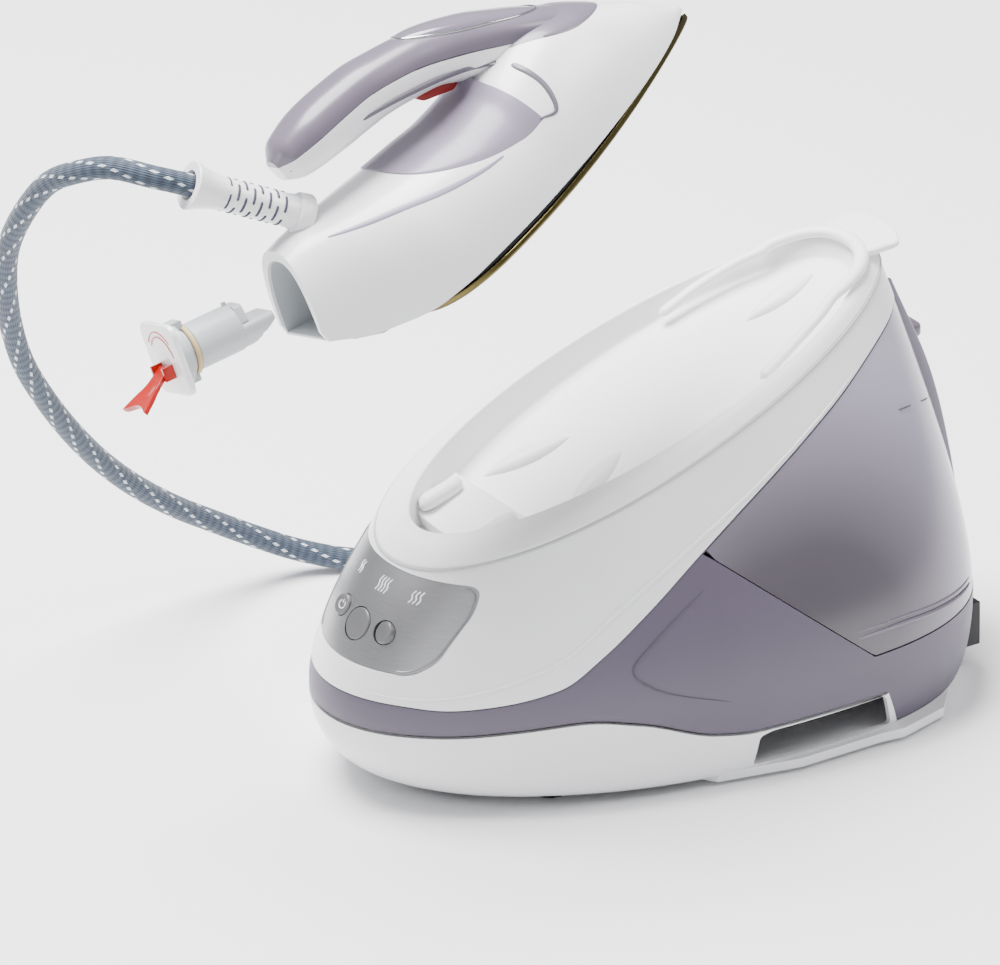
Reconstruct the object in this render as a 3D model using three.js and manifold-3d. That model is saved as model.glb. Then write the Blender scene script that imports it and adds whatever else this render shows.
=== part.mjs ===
// Steam generator iron: a base with water tank and boiler, the iron held above it, and the hose.
// Millimetres. +X to the rear (tank), -X to the front (control panel), +Z up, floor at z = 0.
import * as THREE from "three";
import { mergeVertices } from "three/addons/utils/BufferGeometryUtils.js";
import Module from "manifold-3d";

const wasm = await Module();
wasm.setup();

const GAP = 0.3;
const WALL = 2.6;
const TAU = 2 * Math.PI;

// Three plan outlines of the base: half an ellipse to the front, a squarer half to the rear.
const GIRTH = { front: -211, rear: 190, mid: 50, half: 124, nFront: 2.0, nRear: 2.6 };
const GROOVE = { front: -168, rear: 155, mid: -30, half: 78, nFront: 2.1, nRear: 1.9 };
const FOOT = { front: -165, rear: 176, mid: 45, half: 116, nFront: 2.0, nRear: 2.6 };
const GIRTH_Z = 57;
const FOOT_Z = 5;
const RIM_Z = 189;
const RIM_SLOPE = 0.326;
const FLOOR_Z = 181;
const FLOOR_SLOPE = 0.39;

// ---------- solids ----------

function solidOf(geometry) {
  const g = geometry.clone();
  g.deleteAttribute("normal");
  g.deleteAttribute("uv");
  const m = mergeVertices(g, 1e-3);
  return new wasm.Manifold(
    new wasm.Mesh({
      numProp: 3,
      vertProperties: m.attributes.position.array,
      triVerts: new Uint32Array(m.index.array),
    }),
  );
}

function geometryOf(solid) {
  const m = solid.getMesh();
  const v = new Float32Array(m.numVert * 3);
  for (let i = 0; i < m.numVert; i++) {
    v.set(m.vertProperties.subarray(i * m.numProp, i * m.numProp + 3), i * 3);
  }
  const g = new THREE.BufferGeometry();
  g.setAttribute("position", new THREE.BufferAttribute(v, 3));
  g.setIndex(new THREE.BufferAttribute(m.triVerts, 1));
  return g;
}

const cut = (a, ...rest) => geometryOf(rest.reduce((s, g) => s.subtract(solidOf(g)), solidOf(a)));
const common = (a, ...rest) => geometryOf(rest.reduce((s, g) => s.intersect(solidOf(g)), solidOf(a)));
const join = (a, ...rest) => geometryOf(rest.reduce((s, g) => s.add(solidOf(g)), solidOf(a)));

// A closed solid through rings of equal point count, with a fan over each end.
function loft(rings) {
  const n = rings[0].length;
  const points = rings.flat();
  const faces = [];
  rings.slice(1).forEach((_, k) => {
    for (let i = 0; i < n; i++) {
      const a = k * n + i;
      const b = k * n + ((i + 1) % n);
      faces.push(a, b, b + n, a, b + n, a + n);
    }
  });
  const centre = (ring) => [0, 1, 2].map((c) => ring.reduce((s, p) => s + p[c], 0) / n);
  const first = points.push(centre(rings[0])) - 1;
  const last = points.push(centre(rings[rings.length - 1])) - 1;
  const top = (rings.length - 1) * n;
  for (let i = 0; i < n; i++) {
    const j = (i + 1) % n;
    faces.push(first, j, i, last, top + i, top + j);
  }
  const g = new THREE.BufferGeometry();
  g.setAttribute("position", new THREE.Float32BufferAttribute(points.flat(), 3));
  g.setIndex(faces);
  return solidOf(g).volume() < 0 ? flipped(g) : g;
}

function flipped(geometry) {
  const index = Array.from(geometry.index.array);
  for (let i = 0; i < index.length; i += 3) {
    [index[i + 1], index[i + 2]] = [index[i + 2], index[i + 1]];
  }
  return geometry.clone().setIndex(index);
}

// A side-view outline of (x, z) points, drawn straight across from y0 to y1.
function sideProfile(points, y0, y1) {
  const shape = new THREE.Shape(points.map(([x, z]) => new THREE.Vector2(x, z)));
  return new THREE.ExtrudeGeometry(shape, { depth: y1 - y0, bevelEnabled: false })
    .rotateX(Math.PI / 2)
    .translate(0, y1, 0);
}

const box = (x0, x1, y0, y1, z0, z1) =>
  new THREE.BoxGeometry(x1 - x0, y1 - y0, z1 - z0)
    .translate((x0 + x1) / 2, (y0 + y1) / 2, (z0 + z1) / 2);

const rod = (r, z0, z1, x, y, sides = 14) =>
  new THREE.CylinderGeometry(r, r, z1 - z0, sides).rotateX(Math.PI / 2)
    .translate(x, y, (z0 + z1) / 2);

// A turned solid about +Z; the profile is a list of (radius, z) from bottom to top.
const turned = (profile, sides = 14) =>
  new THREE.LatheGeometry(profile.map(([r, z]) => new THREE.Vector2(r, z)), sides)
    .rotateX(Math.PI / 2);

// A round tube along a list of points.
function tube(points, radius, sides, steps) {
  const path = new THREE.CatmullRomCurve3(points.map((p) => new THREE.Vector3(...p)), false, "centripetal");
  const round = new THREE.Shape();
  for (let i = 0; i < sides; i++) {
    const a = (TAU * i) / sides;
    round[i ? "lineTo" : "moveTo"](radius * Math.cos(a), radius * Math.sin(a));
  }
  return new THREE.ExtrudeGeometry(round, { steps, extrudePath: path, curveSegments: 1 });
}

// Moves a solid built on +Z so that its axis runs from point a along direction d.
function aimed(geometry, a, d) {
  const q = new THREE.Quaternion().setFromUnitVectors(
    new THREE.Vector3(0, 0, 1), new THREE.Vector3(...d).normalize());
  return geometry.applyQuaternion(q).translate(...a);
}

// ---------- base body surface ----------

const power = (v, e) => Math.sign(v) * Math.abs(v) ** e;

function outlinePoint(o, t, inset) {
  const c = Math.cos(t);
  const n = c < 0 ? o.nFront : o.nRear;
  const reach = (c < 0 ? o.mid - o.front : o.rear - o.mid) - inset;
  return [o.mid + reach * power(c, 2 / n), (o.half - inset) * power(Math.sin(t), 2 / n)];
}

// h runs from -1 at the foot, through 0 at the girth, to 1 at the groove under the tray rim.
function bodyPoint(t, h, inset = 0) {
  const [x2, y2] = outlinePoint(GIRTH, t, inset);
  const end = outlinePoint(h < 0 ? FOOT : GROOVE, t, inset);
  const k = h < 0 ? 1 - Math.sqrt(1 - (-h) ** 2.2) : h ** 1.6;
  const zEnd = h < 0 ? FOOT_Z + inset : RIM_Z + RIM_SLOPE * end[0] + 2 * inset;
  const z = GIRTH_Z * (1 - Math.abs(h)) + zEnd * Math.abs(h);
  return [x2 * (1 - k) + end[0] * k, y2 * (1 - k) + end[1] * k, z];
}

function bodySolid(inset, round = 32) {
  const levels = [-1, -0.92, -0.7, -0.35, 0, 0.15, 0.35, 0.55, 0.78, 1];
  return loft(levels.map((h) =>
    Array.from({ length: round }, (_, i) => bodyPoint((TAU * i) / round, h, inset))));
}

const FAR = 320;
const across = (points) => sideProfile(points, -FAR, FAR);
const hull = bodySolid(0);
const shell = cut(hull, bodySolid(WALL));

// Parting lines of the base, seen from the side, from the front to the rear.
const SHELL_EDGE = [
  [-FAR, 69], [-177, 67.5], [-154, 69.5], [-118, 77], [-94, 91.5], [-68, 109.5], [-26, 138],
  [17.5, 162.5], [74, 189.5], [134, 213], [160, 217.5], [FAR, 217.5],
];
const BAND_EDGE = [
  [-FAR, 50], [-173, 53], [-142, 55.5], [-108, 57.5], [-75, 51.5], [-30, 36], [-3, 32.5], [82, 32.5],
];
const SKIRT_FRONT = [[82, 32.5], [93, 8.5]];
const raised = (line, dz) => line.map(([x, z]) => [x, z + dz]);
const above = (line) => across([...line, [FAR, FAR], [-FAR, FAR]]);
const below = (line) => across([...line, [FAR, -FAR], [-FAR, -FAR]]);
const lowerRegion = across([
  ...BAND_EDGE, SKIRT_FRONT[1], [FAR, 8.5], [FAR, -FAR], [-FAR, -FAR],
]);

const root = new THREE.Group();
root.name = "steam_generator_iron";

const LOOKS = {
  white: { color: 0xeceded, roughness: 0.35, metalness: 0 },
  lilac: { color: 0x786f80, roughness: 0.5, metalness: 0 },
  smoke: { color: 0xa79fb0, roughness: 0.2, metalness: 0 },
  mauve: { color: 0x968c9b, roughness: 0.4, metalness: 0 },
  silver: { color: 0xb5b5b6, roughness: 0.35, metalness: 0.8 },
  grey: { color: 0x8a8a8c, roughness: 0.5, metalness: 0 },
  dark: { color: 0x2b2b2e, roughness: 0.7, metalness: 0 },
  red: { color: 0xd73c19, roughness: 0.35, metalness: 0 },
  steel: { color: 0xc0c2c4, roughness: 0.3, metalness: 1 },
  sole: { color: 0x6e643c, roughness: 0.3, metalness: 0.6 },
  brass: { color: 0xb99a52, roughness: 0.35, metalness: 1 },
  green: { color: 0x1f5c3a, roughness: 0.6, metalness: 0 },
  beige: { color: 0xc9b48c, roughness: 0.7, metalness: 0 },
  braid: { color: 0x58687a, roughness: 0.9, metalness: 0 },
};

function add(name, look, geometry, group = root) {
  const mesh = new THREE.Mesh(geometry, new THREE.MeshStandardMaterial(LOOKS[look]));
  mesh.name = name;
  group.add(mesh);
}

// ---------- base: outer pieces ----------

// Mains inlet and hose gland pass through the skirt at the rear, one on each side.
const inletBlock = (grow) => box(150 - grow, 181 + grow, -72 - grow, -46 + grow, 14 - grow, 40 + grow);
const GLAND = { at: [160, 66, 30], along: [1, 0.35, 0] };
const HOSE_R = 6.5;
const glandBody = (grow) => aimed(
  turned([[0, -4], [11 + grow, -4], [11 + grow, 34 + grow], [0, 34 + grow]]), GLAND.at, GLAND.along);
const SLOT = [[-5.5, 9], [-3, 27], [4.5, 29.2], [80.5, 30.4], [87.5, 9]];
const PLATE_TOP = 8;
const notPlate = box(-FAR, FAR, -FAR, FAR, -5, PLATE_TOP + GAP);

add("lower_hull", "white", cut(common(shell, lowerRegion), across(SLOT), notPlate));

add("side_band", "lilac", cut(
  shell, below(raised(BAND_EDGE, GAP).concat([[93.5, 8.5], [FAR, 8.5]])), above(raised(SHELL_EDGE, -GAP)),
  across([[-28, 139.5], [71.9, 57.2], [FAR, 57.2], [FAR, 260], [74, 200], [17.5, 172]]),
  box(-FAR, FAR, -FAR, FAR, -5, PLATE_TOP + GAP), inletBlock(GAP), glandBody(GAP)));

// Floor plate with the lip that closes the storage slots, and the flat rest pad under its middle.
const lip = new THREE.Shape();
lip.moveTo(-150, 0);
[[-132, -55], [-100, -76], [-60, -94], [-32, -103], [-26, -112], [23, -123], [77, -123], [92, -125],
  [125, -116], [166, -70], [171, 0]]
  .forEach(([x, y]) => lip.lineTo(x, y));
[[166, 70], [125, 116], [92, 125], [77, 123], [23, 123], [-26, 112], [-32, 103], [-60, 94], [-100, 76],
  [-132, 55]]
  .forEach(([x, y]) => lip.lineTo(x, y));
const PAD_R = 22;
const PLATE_Z = 2.6;
add("base_plate", "white", join(
  new THREE.ExtrudeGeometry(lip, { depth: PLATE_TOP - PLATE_Z, bevelEnabled: false })
    .translate(0, 0, PLATE_Z),
  rod(PAD_R, 0, PLATE_Z + 1, 0, 0, 32)));

const FEET = [[-105, 62], [-105, -62], [128, 78], [128, -78]];
FEET.forEach(([x, y], i) => add("foot_" + (i + 1), "dark", rod(11, 0, PLATE_Z - GAP, x, y)));

// Panel window: a rounded trapezium on the front, cut along X.
const WINDOW = [[-44, 85], [44, 85], [51, 94], [55, 118], [54, 127], [46, 131.5], [-46, 131.5],
  [-54, 127], [-55, 118], [-51, 94]];
function frontWindow(grow) {
  const s = new THREE.Shape(WINDOW.map(([y, z]) =>
    new THREE.Vector2(y + Math.sign(y) * grow, z + Math.sign(z - 108) * grow)));
  return new THREE.ExtrudeGeometry(s, { depth: 120, bevelEnabled: false })
    .applyMatrix4(new THREE.Matrix4().makeBasis(
      new THREE.Vector3(0, 1, 0), new THREE.Vector3(0, 0, 1), new THREE.Vector3(1, 0, 0)))
    .translate(-250, 0, 0);
}

// The panel leans back with the front of the shell.
const PANEL_NORMAL = new THREE.Vector3(-0.86, 0, 0.51).normalize();
const BUTTONS = [
  { name: "power_button", at: [-188, 18, 105], r: 6.2 },
  { name: "mode_button", at: [-190.6, -1, 101.5], r: 9.4 },
  { name: "descale_button", at: [-187, -21, 103], r: 6.5 },
];
const LIGHTS = [[-173.5, 21, 123.5], [-177, -4, 123], [-172, -28, 123]];
const onPanel = (geometry, at) => aimed(geometry, at, PANEL_NORMAL.toArray());
const throughPanel = [
  ...BUTTONS.map((b) => onPanel(turned([[0, -22], [b.r + 0.5, -22], [b.r + 0.5, 12], [0, 12]]), b.at)),
  ...LIGHTS.map((at) => onPanel(turned([[0, -22], [5, -22], [5, 12], [0, 12]]), at)),
];
const panelLayer = cut(bodySolid(0.2), bodySolid(1.4));

add("upper_shell", "white", cut(
  common(shell, above(raised(SHELL_EDGE, GAP))), frontWindow(GAP),
  box(-FAR, FAR, -FAR, FAR, 251, FAR)));
add("control_panel", "silver", cut(common(panelLayer, frontWindow(0)), ...throughPanel));
const BUTTON_CAP = 2.2;
BUTTONS.forEach((b) => add(b.name, "grey", onPanel(
  turned([[0, -7], [b.r - 1.5, -7], [b.r - 1.5, -2], [b.r, -2], [b.r, BUTTON_CAP - 0.6],
    [b.r - 0.8, BUTTON_CAP], [0, BUTTON_CAP]]), b.at)));
LIGHTS.forEach((at, i) => add("light_window_" + (i + 1), "white", onPanel(
  turned([[0, -5], [4.6, -5], [4.6, 0.4], [4, 0.9], [0, 0.9]]), at)));
add("control_board", "green", onPanel(
  new THREE.BoxGeometry(34, 84, 1.6).rotateZ(0), [-172, 0, 101]));

// ---------- base: tray that carries the iron ----------

const RIM = { front: -150, rear: 140, mid: -10, half: 64, nFront: 2, nRear: 2 };
const trayFloor = (x) => FLOOR_Z + FLOOR_SLOPE * x;
const TRAY_ROUND = 36;
const RIM_HIGH = 9;
const TRAY_WALL = 2.4;
const trayRing = (outline, inset, height) => Array.from({ length: TRAY_ROUND }, (_, i) => {
  const [x, y] = outlinePoint(outline, (TAU * i) / TRAY_ROUND, inset);
  return [x, y, height(x)];
});
const rimLine = (dz) => (x) => RIM_Z + RIM_SLOPE * x + dz;
const floorLine = (dz) => (x) => trayFloor(x) + dz;
const dish = loft([
  trayRing(RIM, 30, floorLine(-TRAY_WALL)),
  trayRing(RIM, 4, floorLine(-TRAY_WALL)),
  trayRing(RIM, -TRAY_WALL, rimLine(RIM_HIGH - TRAY_WALL)),
  trayRing(GROOVE, 3.2, rimLine(-1)),
  trayRing(GROOVE, 3.2, rimLine(0.5)),
  trayRing(GROOVE, 0.4, rimLine(0.5)),
  trayRing(GROOVE, 0.6, rimLine(2)),
  trayRing(RIM, -2, rimLine(RIM_HIGH)),
  trayRing(RIM, 0, rimLine(RIM_HIGH)),
  trayRing(RIM, 4, floorLine(0)),
  trayRing(RIM, 30, floorLine(0)),
]);
const lens = (x0, y0, x1, y1, wide, high) => {
  const g = new THREE.SphereGeometry(1, 12, 8)
    .scale(Math.hypot(x1 - x0, y1 - y0) / 2, wide / 2, high)
    .rotateZ(Math.atan2(y1 - y0, x1 - x0))
    .rotateY(-Math.atan(FLOOR_SLOPE));
  const x = (x0 + x1) / 2;
  return g.translate(x, (y0 + y1) / 2, trayFloor(x) - 0.6);
};
const RIB_HIGH = 5.4;
const HOOP_END = [46, 51];
add("iron_rest_tray", "white", join(
  dish,
  lens(-84, 33, -34, 17, 13, RIB_HIGH), lens(-84, -33, -34, -17, 13, RIB_HIGH),
  lens(72, 0, 118, 0, 12, RIB_HIGH)));

// Heel stop: a saddle across the front of the tray with two rounded lugs.
const lug = (y) => {
  const bar = new THREE.CapsuleGeometry(6, 13, 3, 10).rotateZ(Math.PI / 2).scale(1, 1, 1.25);
  return bar.rotateY(-0.2).translate(-117.5, y, 143.9);
};
const saddle = new THREE.Shape();
saddle.moveTo(-136, -24);
saddle.quadraticCurveTo(-142, 0, -136, 24);
saddle.lineTo(-102, 35);
saddle.lineTo(-102, -35);
const saddlePlate = new THREE.ExtrudeGeometry(saddle, { depth: 3, bevelEnabled: false, curveSegments: 5 })
  .rotateY(-Math.atan(FLOOR_SLOPE))
  .translate(0.5, 0, FLOOR_Z + 2.4);
add("heel_stop", "white", join(saddlePlate, lug(18.5), lug(-18.5)));

// Lock hoop: a bar lying along the tray walls, with a finger tab at the rear.
const HOOP_TOP = [[46, 49, 207.5], [70, 46, 219], [92, 40.5, 229], [104, 36, 235], [112, 34.5, 239.5],
  [128, 28, 245], [138, 17, 248.5]];
const hoopPath = [...HOOP_TOP, [141, 0, 249.5], ...HOOP_TOP.map(([x, y, z]) => [x, -y, z]).reverse()];
const hoopTab = new THREE.Shape([[136, -20], [160, -24], [164, -12], [165, 0], [164, 12], [160, 24],
  [136, 20]]
  .map(([x, y]) => new THREE.Vector2(x, y)));
add("lock_hoop", "white", join(
  tube(hoopPath, 3.6, 8, 26),
  new THREE.ExtrudeGeometry(hoopTab, { depth: 3, bevelEnabled: false })
    .rotateY(-0.12).translate(0, 0, 246.5 - 16.5)));

// ---------- base: water tank ----------

const TANK_GAP = 0.5;
const tankBody = common(bodySolid(0.4), across([
  [-24.4 + TANK_GAP, 137.2], [72.6 + TANK_GAP, 58], [FAR, 58], [FAR, 216.6], [160, 216.6], [134, 212],
  [74, 188.6], [17.5, 161.6],
]));
const tankInside = common(bodySolid(3), across([
  [-10, 133], [76, 61], [FAR, 61], [FAR, 206], [128, 206], [76, 185], [20, 158],
]));
const SPINE_X = [176, 202];
const fillHole = box(150, 178, -14, 14, 190, 240);
const OUTLET = [120, 0];
const outletHole = rod(5.5, 50, 70, ...OUTLET);
add("water_tank", "smoke", cut(tankBody, tankInside, fillHole, outletHole,
  box(SPINE_X[0] - 4, FAR, -9.5, 9.5, 150, 182)));

// Grip down the middle of the tank's rear, standing proud of it, with the filling flap on top.
const spineAt = (z0, z1, y) => common(
  cut(bodySolid(-16), bodySolid(-0.4)), box(120, FAR, -y, y, z0, z1));
add("tank_grip", "lilac", spineAt(64, 181, 9));
add("tank_cap", "lilac", spineAt(182.5, 212, 15));

// Valve in the tank floor and the socket it plugs into.
add("tank_valve", "grey", turned([[0, 58.2], [5, 58.2], [5, 61.4], [8.6, 61.4], [8.6, 66], [6, 70], [0, 70]])
  .translate(...OUTLET, 0));
add("tank_socket", "white", turned(
  [[0, 42], [16, 42], [16, 57], [12, 57], [12, 46], [0, 46]]).translate(...OUTLET, 0));
add("socket_seal", "dark", turned(
  [[6, 50], [11.4, 50], [11.4, 55], [6, 55], [6, 50]]).translate(...OUTLET, 0));

// ---------- base: inside ----------

const BOILER = [-62, 0];
add("boiler_lower", "steel", turned([[0, 22], [30, 22], [46, 34], [50, 48], [50, 66], [56, 66], [56, 69],
  [47, 69], [47, 49], [43, 36], [29, 25], [0, 25]], 20).translate(...BOILER, 0));
add("boiler_upper", "steel", turned([[0, 102], [28, 99], [43, 88], [47, 76], [47, 72.4], [47, 69.4],
  [56, 69.4], [56, 72.4], [50, 72.4], [50, 78], [46, 91], [30, 102], [0, 105]], 20).translate(...BOILER, 0));
const ringCurve = (r) => Array.from({ length: 12 }, (_, i) =>
  [BOILER[0] + r * Math.cos(0.5 + i * 0.48), r * Math.sin(0.5 + i * 0.48), 17.6]);
add("boiler_heater", "steel", tube(ringCurve(24), 3.6, 6, 18));
add("boiler_thermostat", "grey", rod(9, 106, 114, ...BOILER));
add("water_pump", "grey", join(
  new THREE.CylinderGeometry(17, 17, 54, 20).rotateZ(Math.PI / 2).translate(40, -56, 32),
  box(60, 72, -64, -48, 24, 40)));
add("pump_pipe", "beige", tube([[75.5, -56, 32], [84, -50, 32], [88, -28, 34], [86, -4, 40], [104, 0, 44.5]]
  .map(([x, y, z]) => [x - 1, y, z - 4.5]), 2.6, 6, 12));
add("boiler_pipe", "beige", tube([[11.5, -56, 32], [-2, -52, 36], [-8, -34, 42], [-11, -18, 50]],
  2.6, 6, 10));
add("solenoid_valve", "brass", join(
  new THREE.CylinderGeometry(11, 11, 34, 16).rotateZ(Math.PI / 2).translate(20, 34, 46),
  box(34, 48, 26, 42, 38, 54)));
add("power_board", "green", box(10, 88, 62, 92, 34, 35.6));
add("mains_inlet", "dark", cut(inletBlock(0), box(165, 190, -67, -51, 19, 35)));
add("hose_gland", "white", cut(glandBody(0),
  aimed(rod(HOSE_R + GAP, 12, 40, 0, 0), GLAND.at, GLAND.along)));

// ---------- iron ----------

// The iron's own frame: X from the heel to the nose, origin at the nose tip, Z up from the sole.
const IRON_AT = [31.3, 0.2, 410.8];
const noseDir = new THREE.Vector3(0.853, 0.069, 0.517).normalize();
const upDir = new THREE.Vector3(-0.508, 0.336, 0.793);
const sideDir = new THREE.Vector3().crossVectors(upDir, noseDir).normalize();
const iron = new THREE.Group();
iron.matrixAutoUpdate = false;
iron.matrix.makeBasis(noseDir, sideDir, new THREE.Vector3().crossVectors(noseDir, sideDir))
  .setPosition(...IRON_AT);
root.add(iron);
const addIron = (name, look, geometry) => add(name, look, geometry, iron);

// Linear reading of a table of (x, value) rows that run from the nose to the heel.
function along(rows, x) {
  const k = Math.max(1, rows.findIndex(([v]) => v <= x));
  const [[x0, a], [x1, b]] = [rows[k - 1], rows[k]];
  return a + ((b - a) * (x - x0)) / (x1 - x0);
}

const SOLE_LONG = 233;
const SOLE_HALF = 57;
const WIDEST = 0.72;
function soleHalf(x) {
  const u = -x / SOLE_LONG;
  if (u < WIDEST) return SOLE_HALF * Math.sin((Math.PI / 2) * (u / WIDEST)) ** 0.85;
  return SOLE_HALF * (1 - Math.min(1, (u - WIDEST) / (1 - WIDEST)) ** 2.6) ** (1 / 2.6);
}
function soleOutline(inset) {
  const near = [];
  for (let i = 0; i <= 16; i++) {
    const x = -SOLE_LONG * (0.5 - 0.5 * Math.cos((Math.PI * i) / 16));
    near.push([x, soleHalf(x)]);
  }
  const scale = (SOLE_HALF - inset) / SOLE_HALF;
  const mid = -SOLE_LONG * 0.55;
  const outline = near.map(([x, y]) => [mid + (x - mid) * (1 - inset / 120), y * scale]);
  return [...outline, ...outline.slice(1, -1).reverse().map(([x, y]) => [x, -y])];
}
const plateRing = (inset, z) => soleOutline(inset).map(([x, y]) => [x, y, z]);

addIron("soleplate", "sole", loft([plateRing(3, 0), plateRing(0, 2), plateRing(0, 4.4), plateRing(4, 4.4)]));
addIron("heat_shield", "dark", loft([plateRing(2.5, 4.8), plateRing(2.5, 7.4)]));

// Cross-section at x: flat below, a rounded arch above.
const BODY_LOW = [[0, 7.8], [-225, 7.8], [-262, 18], [-285, 33]];
const BODY_TOP = [[0, 11], [-5, 15], [-20, 33], [-33, 45], [-58, 66], [-90, 76], [-118, 73],
  [-150, 64], [-190, 68], [-230, 77], [-262, 83], [-285, 82]];
const BODY_HALF = [[0, 2], [-6, 8], [-20, 21], [-45, 35], [-80, 47], [-120, 55], [-160, 58],
  [-200, 56], [-230, 48], [-255, 37], [-285, 27]];
function archSection(x, low, high, half, points = 18) {
  const ring = [];
  for (let i = 0; i < points; i++) {
    const a = (Math.PI * i) / (points - 1);
    ring.push([x, half * power(Math.cos(a), 0.75), low + (high - low) * Math.sin(a) ** 0.8]);
  }
  return ring;
}
const BODY_X = [-0.5, -6, -20, -33, -58, -90, -118, -150, -190, -225, -245, -262, -285];
const bodyArch = (inset, xs = BODY_X) => loft(xs.map((x) => archSection(
  x, along(BODY_LOW, x) - 3 * Math.sign(inset), along(BODY_TOP, x) - inset, along(BODY_HALF, x) - inset)));

// Collector axis: it dips towards the nose from the opening in the heel.
const DIP = (21 * Math.PI) / 180;
const BORE_AT = [-282, 0, 57];
const BORE_DIR = [Math.cos(DIP), 0, -Math.sin(DIP)];
const onBore = (geometry) => aimed(geometry, BORE_AT, BORE_DIR);
const boreRod = (r, z0, z1) => onBore(rod(r, z0, z1, 0, 0));
const CAVITY_X = [-12, -20, -33, -58, -90, -118, -150, -190, -225, -245, -262, -281];
const ironSkin = cut(bodyArch(0), bodyArch(2.6, CAVITY_X));
const LINER_R = 21;
const LINER_END = 70;
const HEEL_CUT = 3.2;
const heelEnd = onBore(box(-80, 80, -80, 80, -80, HEEL_CUT));
addIron("iron_body", "white", cut(ironSkin, boreRod(LINER_R + GAP, -30, LINER_END + 2), heelEnd));
addIron("collector_liner", "grey", cut(
  boreRod(LINER_R, HEEL_CUT, LINER_END), boreRod(18.2, -20, LINER_END - 2)));

// Heater inside the sole, with its element and thermostat.
addIron("heater_block", "steel", loft([
  plateRing(14, 7.8), plateRing(16, 16)].map((ring) => ring.map(
  ([x, y, z]) => [x * 0.86 - 10, y * 0.86, z]))));
addIron("heating_element", "steel", tube(
  [[-165, 30, 20], [-120, 30, 20], [-75, 18, 20], [-62, 0, 20], [-75, -18, 20], [-120, -30, 20],
    [-165, -30, 20]],
  3.4, 6, 16));
addIron("iron_thermostat", "brass", rod(9, 16.4, 24, -130, 0));

// Handle: fixed at the front only, open to the rear.
const HANDLE_TOP = [[-36, 48], [-58, 67], [-80, 84], [-100, 99], [-130, 115], [-150, 122], [-172, 128],
  [-205, 131], [-228, 128], [-237, 121]];
const HANDLE_LOW = [[-36, 40], [-58, 48], [-80, 56], [-100, 62], [-117, 69], [-127, 75], [-135, 80.5],
  [-150, 86], [-172, 92], [-205, 96.5], [-228, 101], [-237, 107]];
const HANDLE_HALF = [[-36, 8], [-58, 20], [-80, 23], [-100, 21], [-130, 18.5], [-172, 20], [-205, 20],
  [-228, 16], [-237, 7]];
const HANDLE_SPLIT = [[-30, 44], [-80, 66], [-120, 90], [-150, 105], [-180, 113], [-240, 117]];
const handleSection = (x, grow) => {
  const low = along(HANDLE_LOW, x) - grow;
  const high = along(HANDLE_TOP, x) + grow;
  return Array.from({ length: 14 }, (_, i) => {
    const a = (TAU * i) / 14;
    return [x, (along(HANDLE_HALF, x) + grow) * power(Math.cos(a), 0.85),
      (low + high) / 2 + ((high - low) / 2) * power(Math.sin(a), 0.85)];
  });
};
const HANDLE_X = [-37, -48, -58, -80, -100, -117, -135, -155, -172, -190, -205, -220, -230, -236.5];
const handleSolid = (grow) => loft(HANDLE_X.map((x) => handleSection(x, grow)));
const handle = handleSolid(0);
const BUTTON_AT = [-104, 0, 100.5];
const split = (dz) => sideProfile(
  [...HANDLE_SPLIT.map(([x, z]) => [x, z + dz]), [-240, 300], [-30, 300]], -60, 60);
const grownBody = bodyArch(-0.4);
addIron("handle_lower", "white", cut(handle, split(-GAP), grownBody, box(-152, -125, -7, 7, 60, 99.5)));
addIron("handle_top", "mauve", cut(common(handle, split(0)), grownBody,
  aimed(turned([[0, -8], [9.3, -8], [9.3, 20], [0, 20]]), BUTTON_AT, [0.5, 0, 0.87])));
addIron("top_button", "grey", aimed(
  turned([[0, -6], [8.8, -6], [8.8, 2.2], [7, 3.2], [0, 3.2]]), BUTTON_AT, [0.5, 0, 0.87]));
addIron("steam_trigger", "red", sideProfile(
  [[-150.5, 84], [-148, 81.5], [-131, 73.8], [-127, 74.5], [-126.5, 82], [-150.5, 92]], -6.5, 6.5));
addIron("trigger_spring", "steel", tube(
  Array.from({ length: 25 }, (_, i) => [
    -133 + 2.6 * Math.cos(i * 1.05), 2.6 * Math.sin(i * 1.05), 88.8 + i * 0.16]),
  0.4, 5, 48));
addIron("trigger_switch", "dark", box(-147, -139, -4, 4, 93.6, 98.4));

// Lilac well under the hand, and the trim line along the deck.
// Each ring of the well: centre x, height, half length, half width.
const WELL_RINGS = [[-152, 40, 50, 50], [-149, 54, 42, 44], [-139, 63, 32, 29], [-123, 69, 14, 17],
  [-117.5, 73, 7.5, 11]];
const well = loft(WELL_RINGS.map(([cx, z, long, wide]) => Array.from({ length: 20 }, (_, i) => {
  const a = (TAU * i) / 20;
  return [cx + long * Math.cos(a), wide * Math.sin(a), z];
})));
addIron("well_cover", "mauve", cut(well, grownBody, handleSolid(0.5)));

// Steam collector, drawn fully out of its bore.
const OUT = 77;
const outOnBore = (geometry) => onBore(geometry.translate(0, 0, -OUT));
const collectorTip = common(rod(13.5, 42, 66, 0, 0), sideProfile(
  [[-2, 42], [14, 42], [14, 51], [3, 65], [-2, 65]], -14, 14));
addIron("collector_body", "grey", cut(
  outOnBore(join(rod(17.5, 3, 9, 0, 0), rod(13.5, 8, 44, 0, 0), collectorTip)),
  outOnBore(turned([[12.1, 12], [18, 12], [18, 15.4], [12.1, 15.4], [12.1, 12]]))));
addIron("collector_seal", "beige", outOnBore(turned(
  [[12.4, 12.3], [15.6, 12.3], [15.6, 15.1], [12.4, 15.1], [12.4, 12.3]], 16)));
const plateFace = new THREE.Shape([[-21, -17], [-17, -21], [17, -21], [21, -17], [21, 17], [17, 21],
  [-17, 21], [-21, 17]].map(([x, y]) => new THREE.Vector2(x, y)));
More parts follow.
